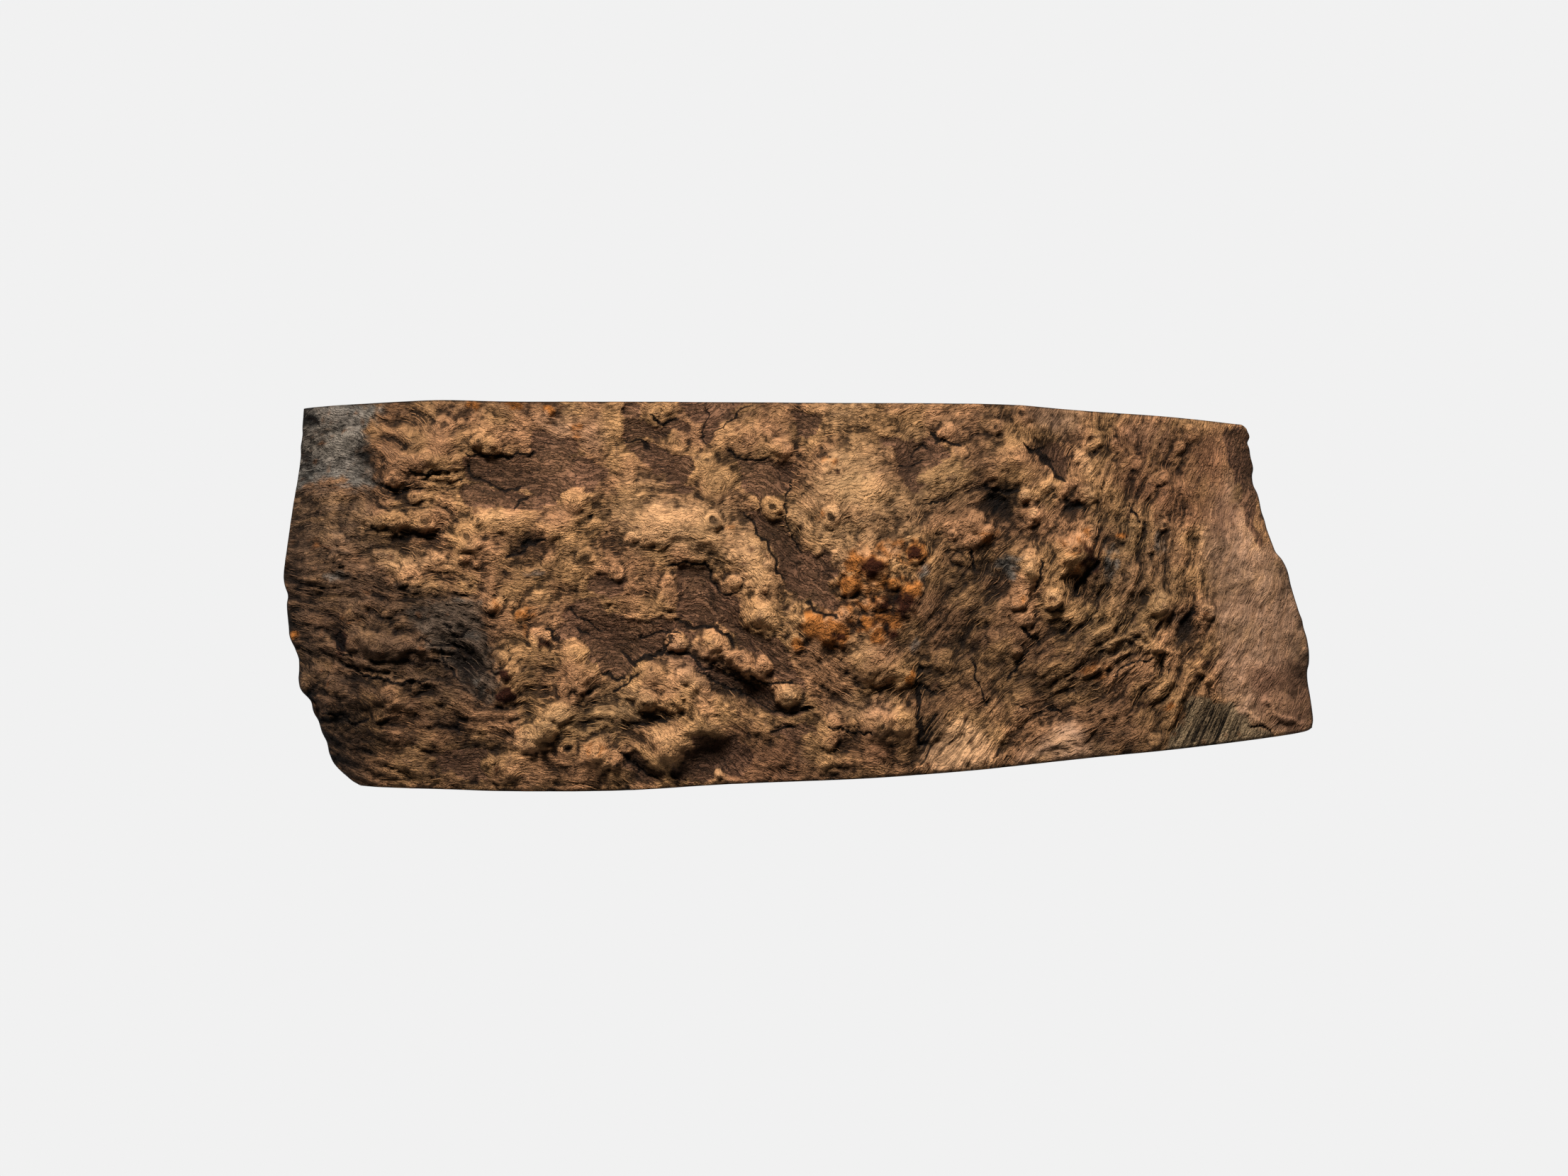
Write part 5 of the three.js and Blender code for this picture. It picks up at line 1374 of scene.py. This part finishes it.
dark_streaks = smooth(0.55, 0.8, hills(1, 63, wall_run / 2.5, wall_z / 20))
calm = 0.3 * stains["pale"] + 0.75 * stains["pink"] + 0.1 * in_bark
point_numbers = {
    "grain": on_points(grain, wall_run + 0.5 * hills(9, 61, wall_run, wall_z), back_ring[:, 1]),
    "bark": on_points(bark, wall_rough * (1.2 * hills(8, 62, wall_run, wall_z) + 2.3) - 2, -2),
    "hollow_shade_and_stains": on_points(hollow_shade_and_stains, wall_rough * dark_streaks),
    "knot_distance": on_points(knot_distance, NO_KNOT, NO_KNOT),
    "knot_ring": on_points(knot_distance * knot_radius),
    "knot_eye": on_points(knot_eye),
    "crack_near": on_points(crack_near),
    "crack_side": on_points(crack_side, NO_CRACK, NO_CRACK),
    "relief_light_and_shade": on_points(relief_light_and_shade, 0.3 * hills(3, 64, wall_run, wall_z)),
    "calm": on_points(calm, 0.8 - 0.6 * wall_rough, 0.8),
    "striped": on_points(stains["striped"]),
}


def store(name, values, kind="FLOAT", field="value"):
    """Store a value for each point of the mesh by name."""
    attribute = block_mesh.attributes.new(name, kind, "POINT")
    attribute.data.foreach_set(field, values.astype(np.float32).ravel())


for name, values in point_numbers.items():
    store(name, values)
paint = on_points(face_paint(), wall_paint(), SAWN[:3])
paint = np.column_stack([paint, np.ones(len(paint))])
store("paint", paint, "FLOAT_COLOR", "color")
print("mean paint:", paint[~wall].mean(axis=0).round(3))

# %% [markdown]
# ## Which way the fibres run
#
# The fibres run along the level lines of the grain numbers, so their direction is the slope of those
# numbers, turned by a right angle. It is stored as an arrow on each point. A second number says how many
# fibres have come loose there: many in the folded regions, and none on bark, on knots or in dark hollows.

# %% Which way the fibres run


def slopes(values):
    """How steeply the values rise along x and along y, at each point of the grid."""
    row_v, column_v = np.gradient(values)
    row_x, column_x = np.gradient(x)
    row_y, column_y = np.gradient(y)
    area = column_x * row_y - row_x * column_y
    return (column_v * row_y - row_v * column_y) / area, (row_v * column_x - column_v * row_x) / area


slope_x, slope_y = slopes(grain)
steepness = np.maximum(np.hypot(slope_x, slope_y), 1e-6)
fibre_run = on_points(np.stack([-slope_y, slope_x, 0 * x], axis=-1) / steepness[..., None])
loose = np.clip(0.05 + 0.95 * folded - 1.5 * hollow_shade_and_stains, 0, 1)
loose *= smooth(-0.3, -1.5, bark) * smooth(0.9, 1.5, knot_distance)
store("fibre_run", fibre_run, "FLOAT_VECTOR", "vector")
store("loose", on_points(loose))


def crease(mesh):
    """Smooth shading, with a sharp edge round the back and along the sawn rims."""
    rim = rim_ring(np.arange(x.size).reshape(x.shape))
    edged = np.zeros(len(block_points), int)
    edged[rim[rim_rough < 0.5]] = 1
    edged[-2 * len(half):-len(half)] = 2
    ends = np.empty(2 * len(mesh.edges), int)
    mesh.edges.foreach_get("vertices", ends)
    kinds = edged[ends.reshape(-1, 2)]
    sharp = (kinds[:, 0] == kinds[:, 1]) & (kinds[:, 0] > 0)
    mesh.polygons.foreach_set("use_smooth", [True] * len(mesh.polygons))
    mesh.edges.foreach_set("use_edge_sharp", sharp)
    return sharp.sum()


print("sharp edges:", crease(block_mesh))
block = bpy.data.objects.new("briar_wood_block", block_mesh)
bpy.context.collection.objects.link(block)

# %% [markdown]
# ## Node maths in Python
#
# A material is a long sum of masks and patterns. A small class holds one output of a node and gives it the
# signs of arithmetic, so a sum in the material reads like a sum.

# %% Node maths in Python


class Pattern:
    """An output of a node, used in expressions as the number or colour it carries."""

    def __init__(self, output):
        self.output = output

    @classmethod
    def node(cls, tree, kind, settings, sockets, output=0):
        """Add a node, change its settings, then fill or link its sockets. One of its outputs comes back."""
        node = tree.nodes.new(kind)
        for name, setting in settings.items():
            setattr(node, name, setting)
        for name, value in sockets.items():
            if isinstance(value, Pattern):
                tree.links.new(value.output, node.inputs[name])
            else:
                node.inputs[name].default_value = value
        return cls(node.outputs[output])

    def sum_node(self, operation, *values):
        """A Math node on these values."""
        sockets = dict(enumerate(values))
        return self.node(self.output.id_data, "ShaderNodeMath", {"operation": operation}, sockets)

    def __add__(self, other):
        return self.sum_node("ADD", self, other)

    def __sub__(self, other):
        return self.sum_node("SUBTRACT", self, other)

    def __rsub__(self, other):
        return self.sum_node("SUBTRACT", other, self)

    def __mul__(self, other):
        return self.sum_node("MULTIPLY", self, other)

    __radd__ = __add__
    __rmul__ = __mul__

    def size(self):
        """The number without its sign."""
        return self.sum_node("ABSOLUTE", self)

    def wave(self):
        """The sine of the number."""
        return self.sum_node("SINE", self)

    def between(self, low_end, high_end):
        """0 up to the low end, 1 from the high end, and an even rise between."""
        settings = {"interpolation_type": "SMOOTHSTEP"}
        sockets = {"Value": self, "From Min": low_end, "From Max": high_end}
        return self.node(self.output.id_data, "ShaderNodeMapRange", settings, sockets)

    def tinted(self, amount, colour):
        """This colour, mixed with another by the amount."""
        sockets = {0: amount, 6: self, 7: colour}
        return self.node(self.output.id_data, "ShaderNodeMix", {"data_type": "RGBA"}, sockets, 2)

    def scaled(self, amount):
        """This colour or vector, brighter or longer by the amount."""
        sockets = {0: self, "Scale": amount}
        return self.node(self.output.id_data, "ShaderNodeVectorMath", {"operation": "SCALE"}, sockets)

    def finish(self):
        """Make this shader the surface of its material."""
        tree = self.output.id_data
        tree.links.new(self.output, tree.nodes.new("ShaderNodeOutputMaterial").inputs["Surface"])


def empty_material(name):
    """A material without nodes."""
    material = bpy.data.materials.new(name)
    material.use_nodes = True
    material.node_tree.nodes.clear()
    return material


# %% [markdown]
# ## Patterns of the wood
#
# The patterns are noise in three coordinates. Fibres use the grain number as the first one, squeezed, and the
# place along and across the block as the other two, stretched, so they follow the grain round every knot.
# Specks use the place alone, turned a little, because noise looks like a lattice where it is cut straight.
# Dark gaps run between the fibres, partly the wood's own and partly painted shade in the troughs of the bump.
# They break off at specks and come and go in patches, as no real gap runs on for long.

# %% Patterns of the wood
wood = empty_material("briar_wood")
tree = wood.node_tree


def mark(name, tree=tree, output="Fac"):
    """One of the numbers stored on the mesh's points, or with the output Color one of the colours."""
    return Pattern.node(tree, "ShaderNodeAttribute", {"attribute_name": name}, {}, output)


def combined(a, b, c):
    """Three numbers as a place for a noise."""
    return Pattern.node(tree, "ShaderNodeCombineXYZ", {}, {0: a, 1: b, 2: c})


def noise(place, detail, roughness=0.5, spacing=1.0):
    """Noise around one half at a place, with hills this far apart."""
    sockets = {"Vector": place, "Scale": 1 / spacing, "Detail": detail, "Roughness": roughness}
    return Pattern.node(tree, "ShaderNodeTexNoise", {}, sockets)


NOISE_TURN = (0.6, 0.4, 0.3)
SPECK_SPACING = 0.5
PATCH_SPACING = 4
# Width and length of the fibres, and of the seams between bundles of them.
FIBRE_SIZE = (0.5, 3.2)
SEAM_SIZE = (1.1, 7)

place = Pattern.node(tree, "ShaderNodeTexCoord", {}, {}, "Object")
place_mm = Pattern.node(tree, "ShaderNodeVectorMath", {"operation": "SCALE"}, {0: place, "Scale": 1 / MM})
turned_mm = Pattern.node(tree, "ShaderNodeMapping", {}, {"Vector": place_mm, "Rotation": NOISE_TURN})
place_x, place_y, place_z = (
    Pattern.node(tree, "ShaderNodeSeparateXYZ", {}, {0: turned_mm}, axis) for axis in range(3)
)
place_yz = place_y + place_z


def fibre_noise(number, width, length, detail, roughness=0.5):
    """Noise drawn out along the fibres that have this number, with this width and length in millimetres."""
    drawn_out = combined(number * (1 / width), place_x * (1 / length), place_yz * (1 / length))
    return noise(drawn_out, detail, roughness)


specks = noise(turned_mm, 1, 0.8, SPECK_SPACING)
speck_light = specks - 0.5
fibre_number = mark("grain") + speck_light * 0.7
fibres = fibre_noise(fibre_number, *FIBRE_SIZE, 1, 0.7)
fibre_light = fibres - 0.5
edge_of_fibre = fibre_light.size()
seam_noise = fibre_noise(fibre_number, *SEAM_SIZE, 0)
calm_here = mark("calm")
patches = noise(turned_mm, 1, 0.6, PATCH_SPACING).between(0.4, 0.6)
# Gaps between fibres: partly the wood's own dark lines, partly painted shade in the troughs of the bump.
gaps_and_shade = edge_of_fibre.between(0.06, 0) * specks.between(0.62, 0.4) * (patches * 0.7 + 0.3)

# %% [markdown]
# ## The colours of the wood
#
# The paint gets a painted highlight on crests and on the tops of the knots, and is lighter along fibres and
# the rings of the knots. A painted shade runs round each knot's foot, in its groove. Bark lies over the paint
# with a torn edge. Then come the dark parts: painted shade, partly dirt, in low places, gaps between the
# fibres that are partly painted shade, and pores, with less of them where the wood is calm. The striped
# plates get long straight fibres of light and dark. Seams and eyes are nearly black; cracks and deep hollows
# get a near-black painted shade, and the hollows a dark one.

# %% The colours of the wood
# A light brightens and a shade darkens by this much. A cover hides what is below it by this share.
RING_SPACING = 0.85
RING_LIGHT = 0.12
# A painted highlight on the knots' tops, and a painted shade in the groove round their foot.
KNOT_TOP_HIGHLIGHT = 0.15
KNOT_FOOT_SHADE = 0.22
STRIPE_SIZE = (0.55, 30)
STRIPE_LIGHT = 1.4
# The paint's brightness without a painted highlight, and how much a painted highlight on crests adds.
LOWEST_LIGHT = 0.8
CREST_HIGHLIGHT = 0.7
BARK_COVER = 0.76
# Painted shade in low places, partly dirt.
LOW_SHADE_AND_DIRT = 0.72
GAP_SHADE = 0.48
CALM_EASE = 0.25
PORE_SHADE = 0.65
# A near-black painted shade in deep hollows.
DEEP_SHADE_COVER = 0.8
# By this share hollows are painted dark as shade, and soot darkens.
DARK_SHADE = 0.85
EYE_COVER = 0.8
# The share of a crack's near-black painted shade.
CRACK_SHADE_COVER = 0.92
BARK_DARK = srgb(58, 39, 29)
BARK_LIGHT = srgb(147, 103, 77)
# Near black: painted shade in deep hollows and cracks, and the black of seams and eyes.
SHADE_AND_SOOT_BLACK = srgb(18, 11, 7)

# %% Masks for the colours
paint_here = mark("paint", output="Color")
bark_light = (fibres * 0.6 + specks * 0.4).between(0.3, 0.75)
bark_sockets = {0: bark_light, 6: BARK_DARK, 7: BARK_LIGHT}
bark_colour = Pattern.node(tree, "ShaderNodeMix", {"data_type": "RGBA"}, bark_sockets, 2)
barked = (mark("bark") + speck_light * 0.9 + fibre_light * 0.8).between(-0.15, 0.15)
knot_place = mark("knot_distance") + speck_light * 0.35 + fibre_light * 0.2
on_knot = knot_place.between(1.1, 0.6)
rings = (mark("knot_ring") * (2 * math.pi / RING_SPACING) + speck_light * 3).wave()
# The groove round a knot's foot, which gets a painted shade.
foot_groove_shade = knot_place.between(0.95, 1.1) * knot_place.between(1.45, 1.2)
# This sum sets the painted highlight and the painted shade, with the lighter and darker fibres, stripes and
# knot rings in it.
light_and_shade_level = mark("relief_light_and_shade") + fibre_light * (2.5 - calm_here) + speck_light * (1.1 - calm_here * 0.6)
straight_fibres = fibre_noise(mark("grain") + speck_light * 0.12, *STRIPE_SIZE, 2, 0.7)
stripes = (straight_fibres.between(0.3, 0.7) - 0.5) * mark("striped")
light_and_shade_level = light_and_shade_level + stripes * STRIPE_LIGHT
# Knot tops get a painted highlight and the groove at their foot a painted shade; the rings are their grain.
light_and_shade_level = light_and_shade_level + on_knot * (rings * RING_LIGHT + KNOT_TOP_HIGHLIGHT) - foot_groove_shade * KNOT_FOOT_SHADE
# crest is a painted highlight with the lighter fibres, dirt a painted shade that is partly dirt, and deep a
# near-black painted shade.
crest_highlight = light_and_shade_level.between(0, 1.3)
low_shade_and_dirt = light_and_shade_level.between(0.1, -0.9)
deep_shade = light_and_shade_level.between(-0.5, -2)

# %% Colour over colour
# The paint and the bark get a painted highlight on crests.
colour = paint_here.scaled(LOWEST_LIGHT + crest_highlight * CREST_HIGHLIGHT)
colour = colour.tinted(barked * BARK_COVER, bark_colour.scaled(LOWEST_LIGHT + crest_highlight * CREST_HIGHLIGHT))
pores = specks.between(0.34, 0.27)
# Low places darken by a painted shade that is partly dirt, gaps partly by painted shade, and pores by their
# own colour.
painted_shade_dirt_and_pores = 1 - low_shade_and_dirt * (LOW_SHADE_AND_DIRT - calm_here * CALM_EASE) * (1 - barked * 0.4) + stripes * 0.5
painted_shade_dirt_and_pores = painted_shade_dirt_and_pores * (1 - gaps_and_shade * (GAP_SHADE - calm_here * CALM_EASE)) * (1 - pores * PORE_SHADE)
colour = colour.scaled(painted_shade_dirt_and_pores)
# Deep hollows get a near-black painted shade.
colour = colour.tinted(deep_shade * (DEEP_SHADE_COVER - barked * 0.4), SHADE_AND_SOOT_BLACK)
seams = (seam_noise - 0.5).size().between(0.03, 0.008) * speck_light.between(-0.12, 0.02)
colour = colour.tinted(seams * (0.2 + barked * 0.6), SHADE_AND_SOOT_BLACK)
# Hollows are painted dark as shade, and soot darkens as dirt and painted shade.
hollow_shade_here = (mark("hollow_shade_and_stains") + speck_light * 1.2 + fibre_light * 2).between(0.15, 1.15)
colour = colour.scaled(1 - hollow_shade_here * DARK_SHADE)
eye_here = (mark("knot_eye") * 0.5 - knot_place - 0.06).between(-0.16, 0.16)
colour = colour.tinted(eye_here * EYE_COVER, SHADE_AND_SOOT_BLACK)
# Each crack is painted near-black: the painted shade inside a gap thinner than a cell.
crack_width = 1 + speck_light * 2.4 + fibre_light * 1.8
in_crack = (crack_width - mark("crack_side").size()).between(-0.3, 0.3)
in_crack = in_crack * mark("crack_near").between(0.55, 0.7)
colour = colour.tinted(in_crack * CRACK_SHADE_COVER, SHADE_AND_SOOT_BLACK)

# %% [markdown]
# ## The finish
#
# Raw wood is matt everywhere. The finest relief, below half a millimetre, is a bump made of the fibres and
# specks. A band saw leaves fine marks that run straight down the sides. There the fibre pattern runs the
# same way, so it serves again.

# %% The finish
BUMP_DEPTH = 0.22
MATT = 0.85
DULL = 0.1

roughness = MATT - fibre_light * 0.2
relief = (edge_of_fibre.between(0, 0.12) + specks * 1.2) * (1 - calm_here * 0.7)
bump_sockets = {"Strength": 1, "Distance": BUMP_DEPTH * MM, "Height": relief}
bump = Pattern.node(tree, "ShaderNodeBump", {}, bump_sockets)
finish = {"Base Color": colour, "Roughness": roughness, "Normal": bump, "Specular IOR Level": DULL}
Pattern.node(tree, "ShaderNodeBsdfPrincipled", {}, finish).finish()
block_mesh.materials.append(wood)

# %% [markdown]
# ## Raised fibres
#
# Single fibres and slivers stand proud of the wood all over the rough face. Geometry Nodes make them:
# points are scattered over the face, and a tip steps out from each along the fibre arrows, drops back onto
# the wood after every step, and leaves an edge behind. The edges become thin tapered rods whose ends dip
# into the wood.

# %% A tree for the fibres
FIBRE_STEPS = 4
FIBRES_PER_SQUARE_METRE = 6e5
FIBRE_STEP_LENGTH = 0.7
FIBRE_HALF_WIDTH = 0.11
FIBRE_SIDES = 3
FALLEN_BELOW = 5
# How far above a tip its way down to the wood starts, and how long that may be.
DROP_START = 20
DROP_LENGTH = 100

fibre_tree = bpy.data.node_groups.new("raised_fibres", "GeometryNodeTree")
fibre_tree.is_modifier = True
fibre_tree.interface.new_socket("Block", in_out="INPUT", socket_type="NodeSocketGeometry")
fibre_inputs = {
    "Fibres per square metre": FIBRES_PER_SQUARE_METRE,
    "Step length": FIBRE_STEP_LENGTH * MM,
    "Half width": FIBRE_HALF_WIDTH * MM,
}
fibre_sockets = {}
for name in fibre_inputs:
    fibre_sockets[name] = fibre_tree.interface.new_socket(name, in_out="INPUT", socket_type="NodeSocketFloat")
fibre_tree.interface.new_socket("Fibres", in_out="OUTPUT", socket_type="NodeSocketGeometry")


def part(kind, settings=None, sockets=None, output=0):
    """A node of the fibre tree."""
    return Pattern.node(fibre_tree, kind, settings or {}, sockets or {}, output)


def given(name):
    """One of the inputs of the fibre tree."""
    return part("NodeGroupInput", output=name)


def stored(name, data_type="FLOAT"):
    """A number, an arrow or a colour stored on the block's points."""
    return part("GeometryNodeInputNamedAttribute", {"data_type": data_type}, {"Name": name}, "Attribute")


def on_block(name, data_type):
    """What the block has stored at the nearest place on its surface."""
    return part("GeometryNodeSampleNearestSurface", {"data_type": data_type},
                {"Mesh": given("Block"), "Value": stored(name, data_type)}, "Value")


# %% The tips step out
density = stored("loose") * given("Fibres per square metre")
scattered = part("GeometryNodeDistributePointsOnFaces", {"distribute_method": "RANDOM"},
                 {"Mesh": given("Block"), "Density": density, "Seed": 7}, "Points")
start = part("GeometryNodePointsToVertices", {}, {"Points": scattered}, "Mesh")

repeat_start = fibre_tree.nodes.new("GeometryNodeRepeatInput")
repeat_end = fibre_tree.nodes.new("GeometryNodeRepeatOutput")
repeat_start.pair_with_output(repeat_end)
repeat_end.repeat_items.new("BOOLEAN", "Tip")
repeat_start.inputs["Iterations"].default_value = FIBRE_STEPS
repeat_start.inputs["Tip"].default_value = True
fibre_tree.links.new(start.output, repeat_start.inputs["Geometry"])

so_far, tip = (Pattern(repeat_start.outputs[name]) for name in ("Geometry", "Tip"))
stepped = part("GeometryNodeExtrudeMesh", {"mode": "VERTICES"},
               {"Mesh": so_far, "Selection": tip, "Offset": on_block("fibre_run", "FLOAT_VECTOR"),
                "Offset Scale": given("Step length")}, "Mesh")
new_tip = Pattern(stepped.output.node.outputs["Top"])
above = part("ShaderNodeVectorMath", {"operation": "ADD"},
             {0: part("GeometryNodeInputPosition"), 1: (0, 0, DROP_START * MM)})
landed = part("GeometryNodeRaycast", {},
              {"Target Geometry": given("Block"), "Source Position": above, "Ray Direction": (0, 0, -1),
               "Ray Length": DROP_LENGTH * MM}, "Hit Position")
moved = part("GeometryNodeSetPosition", {},
             {"Geometry": stepped, "Selection": new_tip, "Position": landed}, "Geometry")
fibre_tree.links.new(moved.output, repeat_end.inputs["Geometry"])
fibre_tree.links.new(new_tip.output, repeat_end.inputs["Tip"])

# %% The rods
THINNEST_FIBRE = 0.5
THICKEST_FIBRE = 1.2
# All in half widths: how far the ends dip, how far the middle stands above them, and the ends' thickness.
ENDS_DIP = 0.8
MIDDLE_RISE = 0.9
END_THICKNESS = 0.2


def random_number(lowest, highest, seed):
    """A random number for each element."""
    return part("FunctionNodeRandomValue", {"data_type": "FLOAT"}, {2: lowest, 3: highest, "Seed": seed}, 1)


def with_number(geometry, name, value, domain="CURVE", data_type="FLOAT"):
    """The geometry with a value stored on it by name."""
    return part("GeometryNodeStoreNamedAttribute", {"data_type": data_type, "domain": domain},
                {"Geometry": geometry, "Name": name, "Value": value}, "Geometry")


# A tip that steps past the rim meets no wood and falls to the back, so what is that low is taken off.
point_height = part("ShaderNodeSeparateXYZ", {}, {0: part("GeometryNodeInputPosition")}, "Z")
fallen = point_height.sum_node("LESS_THAN", point_height, FALLEN_BELOW * MM)
lines = part("GeometryNodeDeleteGeometry", {"domain": "POINT"},
             {"Geometry": Pattern(repeat_end.outputs["Geometry"]), "Selection": fallen}, "Geometry")
rods = part("GeometryNodeMeshToCurve", {}, {"Mesh": lines}, "Curve")
rods = with_number(rods, "tone", random_number(0, 1, 8))
rods = with_number(rods, "thickness", random_number(THINNEST_FIBRE, THICKEST_FIBRE, 9))
rods = with_number(rods, "paint", on_block("paint", "FLOAT_COLOR"), "POINT", "FLOAT_COLOR")
share = part("GeometryNodeSplineParameter", output="Factor")
fullness = share * (1 - share) * 4
lift = part("ShaderNodeCombineXYZ", {}, {"Z": (fullness * MIDDLE_RISE - ENDS_DIP) * given("Half width")})
rods = part("GeometryNodeSetPosition", {}, {"Geometry": rods, "Offset": lift}, "Geometry")
radius = (fullness * (1 - END_THICKNESS) + END_THICKNESS) * stored("thickness") * given("Half width")
profile = part("GeometryNodeCurvePrimitiveCircle", {"mode": "RADIUS"},
               {"Resolution": FIBRE_SIDES, "Radius": 1}, "Curve")
fibre_rods = part("GeometryNodeCurveToMesh", {},
                  {"Curve": rods, "Profile Curve": profile, "Scale": radius, "Fill Caps": True}, "Mesh")

# %% [markdown]
# The fibres are the same wood, so they take the paint of the place they lie on. Each is a little lighter or
# darker than its neighbours.

# %% The wood of the fibres
DARKEST_FIBRE = 0.7
FIBRE_VARIETY = 0.4

fibre_wood = empty_material("raised_fibres")
fibre_nodes = fibre_wood.node_tree
fibre_tone = DARKEST_FIBRE + mark("tone", fibre_nodes) * FIBRE_VARIETY
fibre_colour = mark("paint", fibre_nodes, "Color").scaled(fibre_tone)
fibre_finish = {"Base Color": fibre_colour, "Roughness": MATT, "Specular IOR Level": DULL}
Pattern.node(fibre_nodes, "ShaderNodeBsdfPrincipled", {}, fibre_finish).finish()

# %% The fibres as a mesh
realized = part("GeometryNodeRealizeInstances", {}, {"Geometry": fibre_rods}, "Geometry")
finished = part("GeometryNodeSetMaterial", {}, {"Geometry": realized, "Material": fibre_wood}, "Geometry")
fibre_tree.links.new(finished.output, fibre_tree.nodes.new("NodeGroupOutput").inputs["Fibres"])

fibres_piece = bpy.data.objects.new("raised_fibres", block_mesh)
bpy.context.collection.objects.link(fibres_piece)
growth = fibres_piece.modifiers.new("growth", "NODES")
growth.node_group = fibre_tree
for name, value in fibre_inputs.items():
    growth[fibre_sockets[name].identifier] = value
grown = fibres_piece.evaluated_get(bpy.context.evaluated_depsgraph_get())
fibre_mesh = bpy.data.meshes.new_from_object(grown)
fibres_piece.modifiers.remove(growth)
fibres_piece.data = fibre_mesh
print("fibres:", len(fibre_mesh.vertices) // ((FIBRE_STEPS + 1) * FIBRE_SIDES),
      "triangles:", sum(len(face.vertices) - 2 for face in fibre_mesh.polygons))

# %% [markdown]
# ## Floor and light
#
# The floor is a sheet that glows in one pale tone, so no shadow falls on it. It lies just below the block
# and shows only its upper side, so that the block's back can be seen from below. One soft light stands past
# the far side, a little to the left, because in the photograph every knot is lit from there and casts a
# short shadow towards the near side. The dim world fills the shadows.

# %% Floor and light
FLOOR_SIZE = 4
FLOOR_GAP = 0.05
FLOOR_GLOW = 0.88
LIGHT_TURN = 100
LIGHT_RISE = 40
LIGHT_AWAY = 1.3
LIGHT_SIZE = 0.32
LIGHT_POWER = 32
FILL = 0.09

floor_mesh = bpy.data.meshes.new("floor")
half_floor = FLOOR_SIZE / 2
corner_signs = ((-1, -1), (1, -1), (1, 1), (-1, 1))
floor_corners = [(a * half_floor, b * half_floor, -FLOOR_GAP * MM) for a, b in corner_signs]
floor_mesh.from_pydata(floor_corners, [], [(0, 1, 2, 3)])
floor = bpy.data.objects.new("floor", floor_mesh)
bpy.context.collection.objects.link(floor)

pale = empty_material("pale_floor")
tree = pale.node_tree
glow = {"Base Color": (0, 0, 0, 1), "Specular IOR Level": 0, "Emission Color": (1, 1, 1, 1),
        "Emission Strength": FLOOR_GLOW}
glowing = Pattern.node(tree, "ShaderNodeBsdfPrincipled", {}, glow)
clear = Pattern.node(tree, "ShaderNodeBsdfTransparent", {}, {})
from_below = Pattern.node(tree, "ShaderNodeNewGeometry", {}, {}, "Backfacing")
Pattern.node(tree, "ShaderNodeMixShader", {}, {0: from_below, 1: glowing, 2: clear}).finish()
floor_mesh.materials.append(pale)

light_data = bpy.data.lights.new("key", "AREA")
light_data.size = LIGHT_SIZE
light_data.energy = LIGHT_POWER
light = bpy.data.objects.new("key", light_data)
turn, climb = math.radians(LIGHT_TURN), math.radians(LIGHT_RISE)
light.location = (
    LIGHT_AWAY * math.cos(climb) * math.cos(turn),
    LIGHT_AWAY * math.cos(climb) * math.sin(turn),
    LIGHT_AWAY * math.sin(climb),
)
light.rotation_euler = light.location.to_track_quat("Z", "Y").to_euler()
bpy.context.collection.objects.link(light)

world = bpy.data.worlds.new("pale_world")
world.use_nodes = True
background = world.node_tree.nodes["Background"].inputs
background["Color"].default_value = (1, 1, 1, 1)
background["Strength"].default_value = FILL
bpy.context.scene.world = world
bpy.context.scene.view_settings.view_transform = "Standard"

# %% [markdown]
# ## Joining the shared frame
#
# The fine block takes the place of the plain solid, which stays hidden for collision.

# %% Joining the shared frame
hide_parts("briar_block")
for piece in (block, fibres_piece):
    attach(piece, "root")
